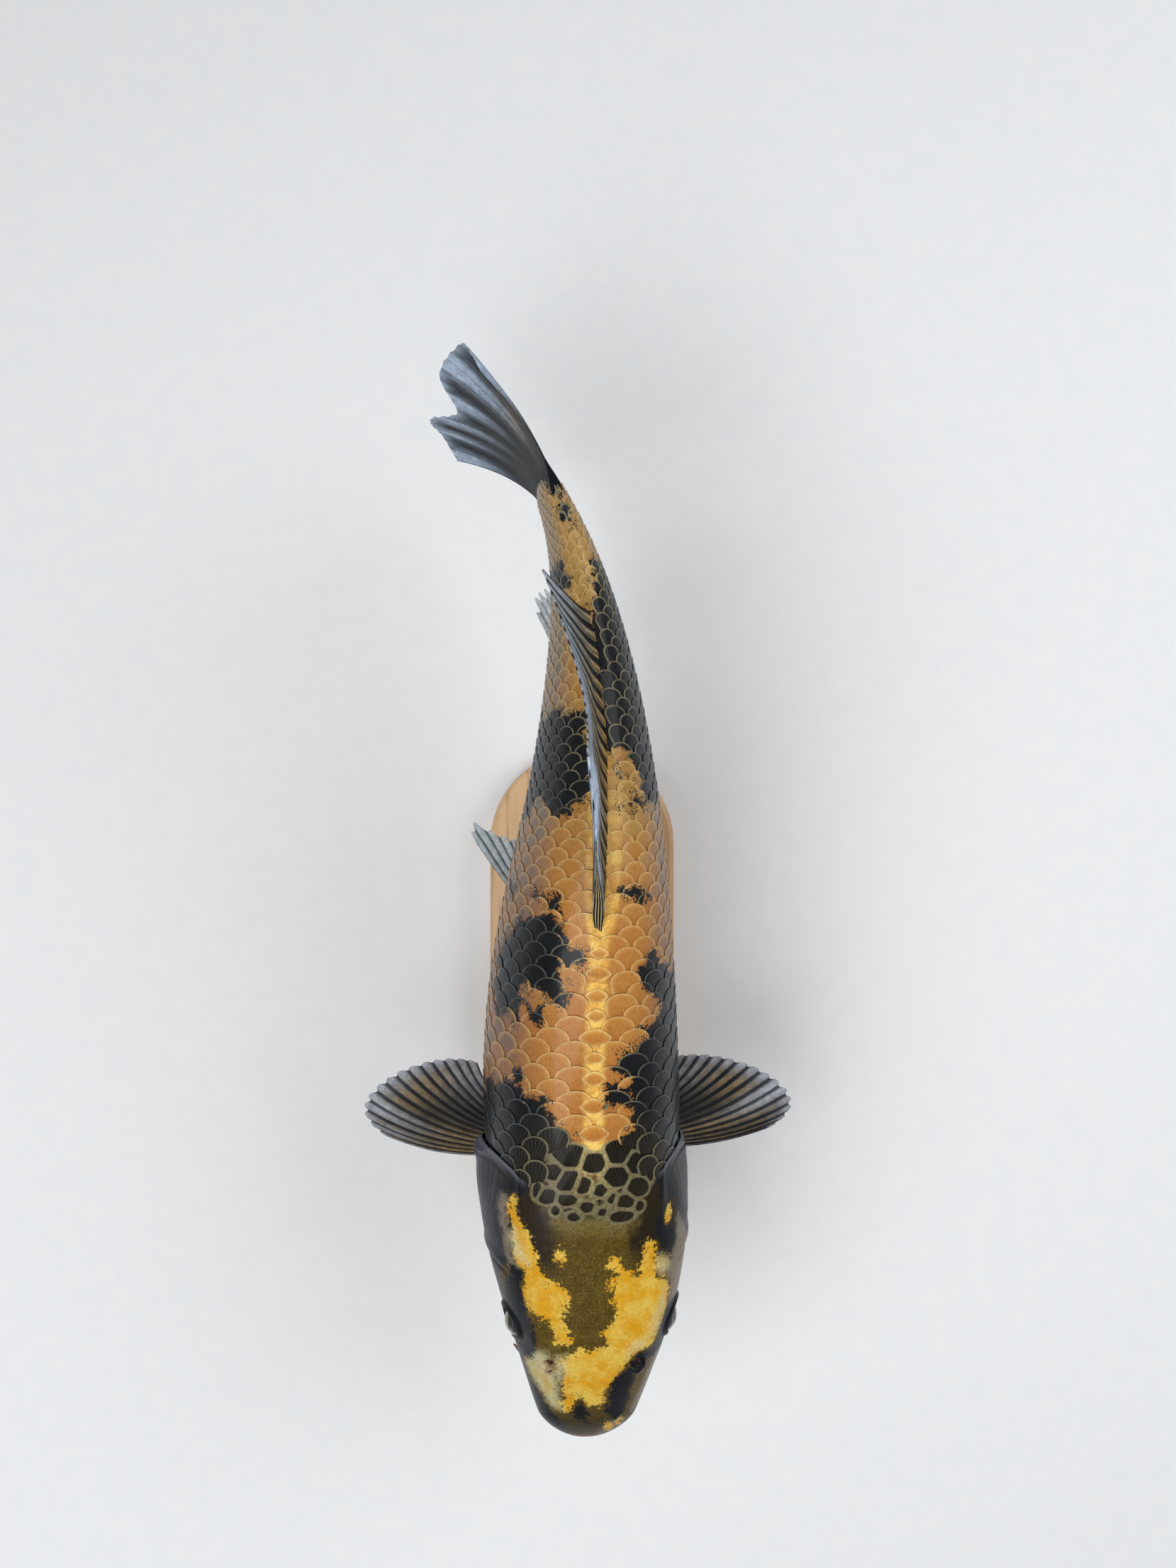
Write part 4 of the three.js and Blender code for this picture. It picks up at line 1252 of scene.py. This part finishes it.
def finPoint(fin, k, t, shorten=1.0):
    s, e, z = fin["root"](k)
    reach = fin["reachCurve"](k) * fin["growth"] * t * shorten
    turn = np.radians(mix(*fin["fan"], k) + fin["curl"] * t / 2)
    lean = np.radians(fin["leanCurve"](k))
    out = fin["out"] * reach * np.cos(turn)
    side = e + out * np.sin(lean) + fin["sway"](k, t)
    return place(s + reach * np.sin(turn), side, z + out * np.cos(lean))


# Outward direction of a fin's face.
def finNormal(fin, k, t):
    nudge = 1e-3
    k, t = np.clip(k, nudge, 1 - nudge), np.clip(t, nudge, 1 - nudge)
    normal = np.cross(
        finPoint(fin, k + nudge, t) - finPoint(fin, k - nudge, t),
        finPoint(fin, k, t + nudge) - finPoint(fin, k, t - nudge),
    )
    return normal / np.linalg.norm(normal, axis=-1, keepdims=True)


def softPatches(patches, k, t):
    total = np.zeros(k.shape)
    for middleK, middleT, halfK, halfT, strength in patches:
        soft = np.exp(-((k - middleK) / halfK) ** 2 - ((t - middleT) / halfT) ** 2)
        total = np.maximum(total, strength * soft)
    return total


def buildFin(name, fin):
    rays = fin["rays"]
    bpy.ops.mesh.primitive_grid_add(x_subdivisions=10 * rays, y_subdivisions=fin["rows"], size=2)
    piece = named(name)
    sheet = getPlaces(piece)
    phase, t = (sheet[:, 0] + 1) / 2 * rays, (sheet[:, 1] + 1) / 2
    k = (phase / rays) ** (1 / fin["crowd"])

    # pleats between the rays, a scalloped and ragged edge, and a slow wave in the whole fin
    lobe = np.clip(phase, 0, rays - 1e-6) % 1
    hill = 0.5 - 0.5 * np.cos(2 * np.pi * lobe)
    rng = np.random.default_rng(rays)
    halfRay = np.floor(np.clip(2 * phase, 0, 2 * rays)).astype(int)
    uneven = rng.uniform(-1, 1, 2 * rays + 1)[halfRay]
    notch = fin["scallop"] * (1 - hill) ** 3
    notch += fin["ragged"] * (1 + uneven) * np.abs(np.sin(2 * np.pi * phase))
    shorten = 1 - notch * smooth(t, 0.55, 1)
    wave = fin["pleat"] * (hill - 0.5) * smooth(t, 0.06, 0.4) + 0.5 * np.sin(5 * t + 9 * k) * t * t
    raiseFrom(piece, finPoint(fin, k, t, shorten), finNormal(fin, k, t), wave)

    # thin skin, thicker along the forked rays, at the foot and in the leading rays' bundle
    spread = 0.06 + 0.14 * smooth(t, 0.3, 1)
    ridges = np.maximum(bump(lobe, 0.5 - spread, 0.09), bump(lobe, 0.5 + spread, 0.09))
    thickness = fin["thinnest"] + fin["ray"] * ridges * (1 - 0.5 * t)
    foot = (fin["base"] - fin["thinnest"]) * (1 - smooth(t, 0, 0.28))
    thickness += foot * (1 - 0.16 * fin["bundle"] * (1 - smooth(k, 0, 0.1)))
    pointed = smooth(t, 0.03, 0.3) * (1 - smooth(t, 0.3, 0.8))
    thickness += fin["bundle"] * (1 - smooth(k, 0, 0.2)) * pointed
    weights = piece.vertex_groups.new(name="thickness")
    for index, weight in enumerate((thickness / fin["thickest"]).tolist()):
        weights.add([index], weight, "REPLACE")
    soft = {kind: softPatches(fin[kind], k, t) for kind in ("dusk", "paleAndLit", "tan")}
    setFields(piece, {"phase": phase, "hill": hill, "outward": t, **soft})
    shell = piece.modifiers.new("shell", "SOLIDIFY")
    shell.thickness = fin["thickest"] * mm
    shell.offset = 0
    shell.vertex_group = weights.name
    bpy.ops.object.modifier_apply(modifier=shell.name)
    setFields(piece, {"across": np.repeat([-1, 1], len(sheet))})
    faceOutward()
    bpy.ops.object.shade_smooth_by_angle(angle=math.radians(60))
    piece.data.materials.append(finMaterial(name + "Skin", fin))
    return piece


def finMaterial(name, fin):
    hue = fin["colours"]
    material = newMaterial(name)
    hill, outward, phase = field("hill"), field("outward"), field("phase")
    turns = times(stirred(phase, noise(120, 2), 0.5), 2 * math.pi * fin["lines"])
    forked = step(outward, 0.3, 0.6)
    single = times(calc("SINE", turns), calc("SUBTRACT", 1.0, forked))
    lines = calc("ADD", single, times(calc("SINE", times(turns, 2.0)), forked))
    web = step(hill, *fin["gap"])
    between = step(hill, fin["gap"][0] - 0.3, fin["gap"][1])
    # pale fin tips, and painted light on the dorsal's lit front membrane
    paleAndLitShare = calc("MINIMUM", times(field("paleAndLit"), between), 1.0)
    colour = painted(
        hue["dark"],
        (web, hue["middle"]),
        (times(field("dusk"), step(lines, 1.1, -0.6, 0.55, 1)), hue["dark"]),
        (times(field("tan"), web), hue["tan"]),
        (paleAndLitShare, hue["pale"]),
        (times(step(lines, 0.1, -0.9), step(outward, 1.0, 0.4, 0.22, 0.6)), hue["line"]),
    )
    if fin["bundle"]:
        across = scaled(noise(150, 2), 0.5, field("across"))
        threads = step(calc("SINE", times(across, 11.0)), 0.1, 0.7, 0, 0.8)
        colour = blend(times(threads, step(phase, 0.06, 0.01)), colour, hue["thread"])
    colour = mottle(colour, noise(300, 4, 0.7), 200)
    finishWith(colour, 0.45, specular=0.12, coat=0.08, coatRoughness=0.15)
    see = times(times(paleAndLitShare, step(outward, 0.35, 1)), fin["clear"])
    feed(shader.inputs["Alpha"], calc("SUBTRACT", 1.0, see))
    bumpOn(lines, 0.00012, 0.6)
    return material


for name, ownForm in fins.items():
    fin = {**usualFin, **ownForm}
    fin["reachCurve"], fin["leanCurve"] = through(fin["reach"]), through(fin["lean"])
    piece = buildFin(name, fin)
    nodes = ("caudal_fin_upper", "caudal_fin_lower") if name == "caudal_fin" else (name,)
    standIn(piece, "fin", *nodes)
    print(name, len(piece.data.polygons), "faces")

# Eyes: the ball's pole looks outwards, so that its rings lie round the pupil
eyeHues = paints(
    pupil=(4, 4, 5), goldRing=(196, 158, 84), iris=(22, 17, 12), flecks=(92, 66, 28),
    irisEdge=(26, 24, 22), white=(66, 64, 60), socket=(14, 15, 17),
)
eyeMaterial = newMaterial("darkEye")
polar = field("polar")
iris = blend(step(noise(1800, 4, 0.7), 0.5, 0.75), eyeHues["iris"], eyeHues["flecks"])
colour = painted(  # from the pupil outwards
    eyeHues["pupil"],
    (step(polar, 0.5, 0.52), eyeHues["goldRing"]),
    (step(polar, 0.56, 0.62), iris),
    (step(polar, 0.86, 0.94), eyeHues["irisEdge"]),
    (step(polar, 1.0, 1.04), eyeHues["white"]),
    (step(polar, 1.08, 1.14), eyeHues["socket"]),
)
finishWith(colour, 0.2, coat=1.0, coatRoughness=0.02)
for side, sideName in sides:
    bpy.ops.mesh.primitive_uv_sphere_add(segments=48, ring_count=40, radius=1)
    eye = named("eyeball_" + sideName)
    ball = getPlaces(eye)
    polarAngle = np.arccos(np.clip(ball[:, 2], -1, 1))
    flattened = 1 - 0.035 * bump(polarAngle, 0.86, 0.22)
    back, up, out = (ball * flattened[:, None]).T
    setPlaces(eye, place(
        eyeForm["s"] + back * eyeForm["length"],
        side * (eyeForm["e"] + out * eyeForm["depth"]),
        eyeForm["z"] + up * eyeForm["height"],
    ))
    setField(eye, "polar", polarAngle)
    faceOutward()
    bpy.ops.object.shade_smooth()
    eye.data.materials.append(eyeMaterial)
    standIn(eye, "eye", "eye_" + sideName)

# Barbels: tapered feelers, a short pair in front and a longer pair at the mouth's corners
barbels = {
    "front": {"root": (13, 14, -12), "tip": (19, 21.5, -18), "droop": 0.5, "thickness": 1.5},
    "rear": {"root": (21, 18.5, -16), "tip": (32, 29, -27), "droop": 0.8, "thickness": 2.2},
}
barbelHues = paints(root=(196, 150, 104), tip=(120, 88, 66), rings=(90, 70, 56))
barbelMaterial = newMaterial("barbelSkin")
rings = noise(900, 3, 0.6)
colour = blend(step(field("outward"), 0.1, 0.8), barbelHues["root"], barbelHues["tip"])
finishWith(blend(step(rings, 0.45, 0.65), colour, barbelHues["rings"]), 0.4)
bumpOn(rings, 0.0002, 0.6)
for name, form in barbels.items():
    for side, sideName in sides:
        bpy.ops.mesh.primitive_uv_sphere_add(segments=20, ring_count=30, radius=1)
        piece = named(f"feeler_{name}_{sideName}")
        ball = getPlaces(piece)
        t = (1 - ball[:, 2]) / 2
        s, e, z = mix(np.array(form["root"], float), np.array(form["tip"], float), t[:, None]).T
        around = np.arctan2(ball[:, 1], ball[:, 0])
        ends = np.sqrt(np.clip(1 - np.maximum(np.abs(2 * t - 1) - 0.85, 0) ** 2 / 0.15**2, 0, 1))
        radius = form["thickness"] / 2 * mix(1, 0.45, t) * ends * (1 + 0.06 * np.sin(40 * t))
        droop = form["droop"] * t * (1 - t) * 4
        setPlaces(piece, place(
            s + radius * np.cos(around),
            side * (e + radius * np.sin(around)),
            z - droop + 0.4 * radius * np.cos(around),
        ))
        setField(piece, "outward", t)
        faceOutward()
        bpy.ops.object.shade_smooth()
        piece.data.materials.append(barbelMaterial)
        standIn(piece, "barbel", f"barbel_{name}_{sideName}")
print("eyes and barbels")

# Display stand: the CAD's base, rods and saddles with their finish
standHues = paints(
    wood=(206, 170, 128), figure=(186, 146, 102), grain=(150, 110, 72),
    steel=(176, 178, 182), brightSteel=(206, 208, 210),
)


# The place on a piece, squeezed along one way so that what is drawn there runs out long.
def stretchedPlace(*squeeze):
    inputs = {"Vector": objectPlace(), "Scale": squeeze}
    return addNode("ShaderNodeMapping", inputs).outputs["Vector"]


woodMaterial = newMaterial("paleBeech")
alongBase = stretchedPlace(1.0, 0.08, 1.0)
grain = noise(260, 5, 0.6, alongBase)
colour = painted(
    standHues["wood"],
    (step(noise(38, 3, 0.5, alongBase), 0.35, 0.65), standHues["figure"]),
    (step(grain, 0.5, 0.75), standHues["grain"]),
)
finishWith(colour, 0.5, coat=0.2, coatRoughness=0.3)
bumpOn(grain, 0.0002, 0.4)
steelMaterial = newMaterial("brushedSteel")
brushing = noise(2200, 2, 0.5, stretchedPlace(1.0, 1.0, 0.05))
colour = blend(brushing, standHues["steel"], standHues["brightSteel"])
finishWith(colour, step(brushing, 0.2, 0.8, 0.22, 0.4))
shader.inputs["Metallic"].default_value = 1.0
standFinish = {
    "stand_base": woodMaterial, "stand_rod_front": steelMaterial, "stand_rod_rear": steelMaterial,
    "stand_saddle_front": steelMaterial, "stand_saddle_rear": steelMaterial,
}
for node, material in standFinish.items():
    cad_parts[node].data.materials.clear()
    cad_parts[node].data.materials.append(material)
print("stand")
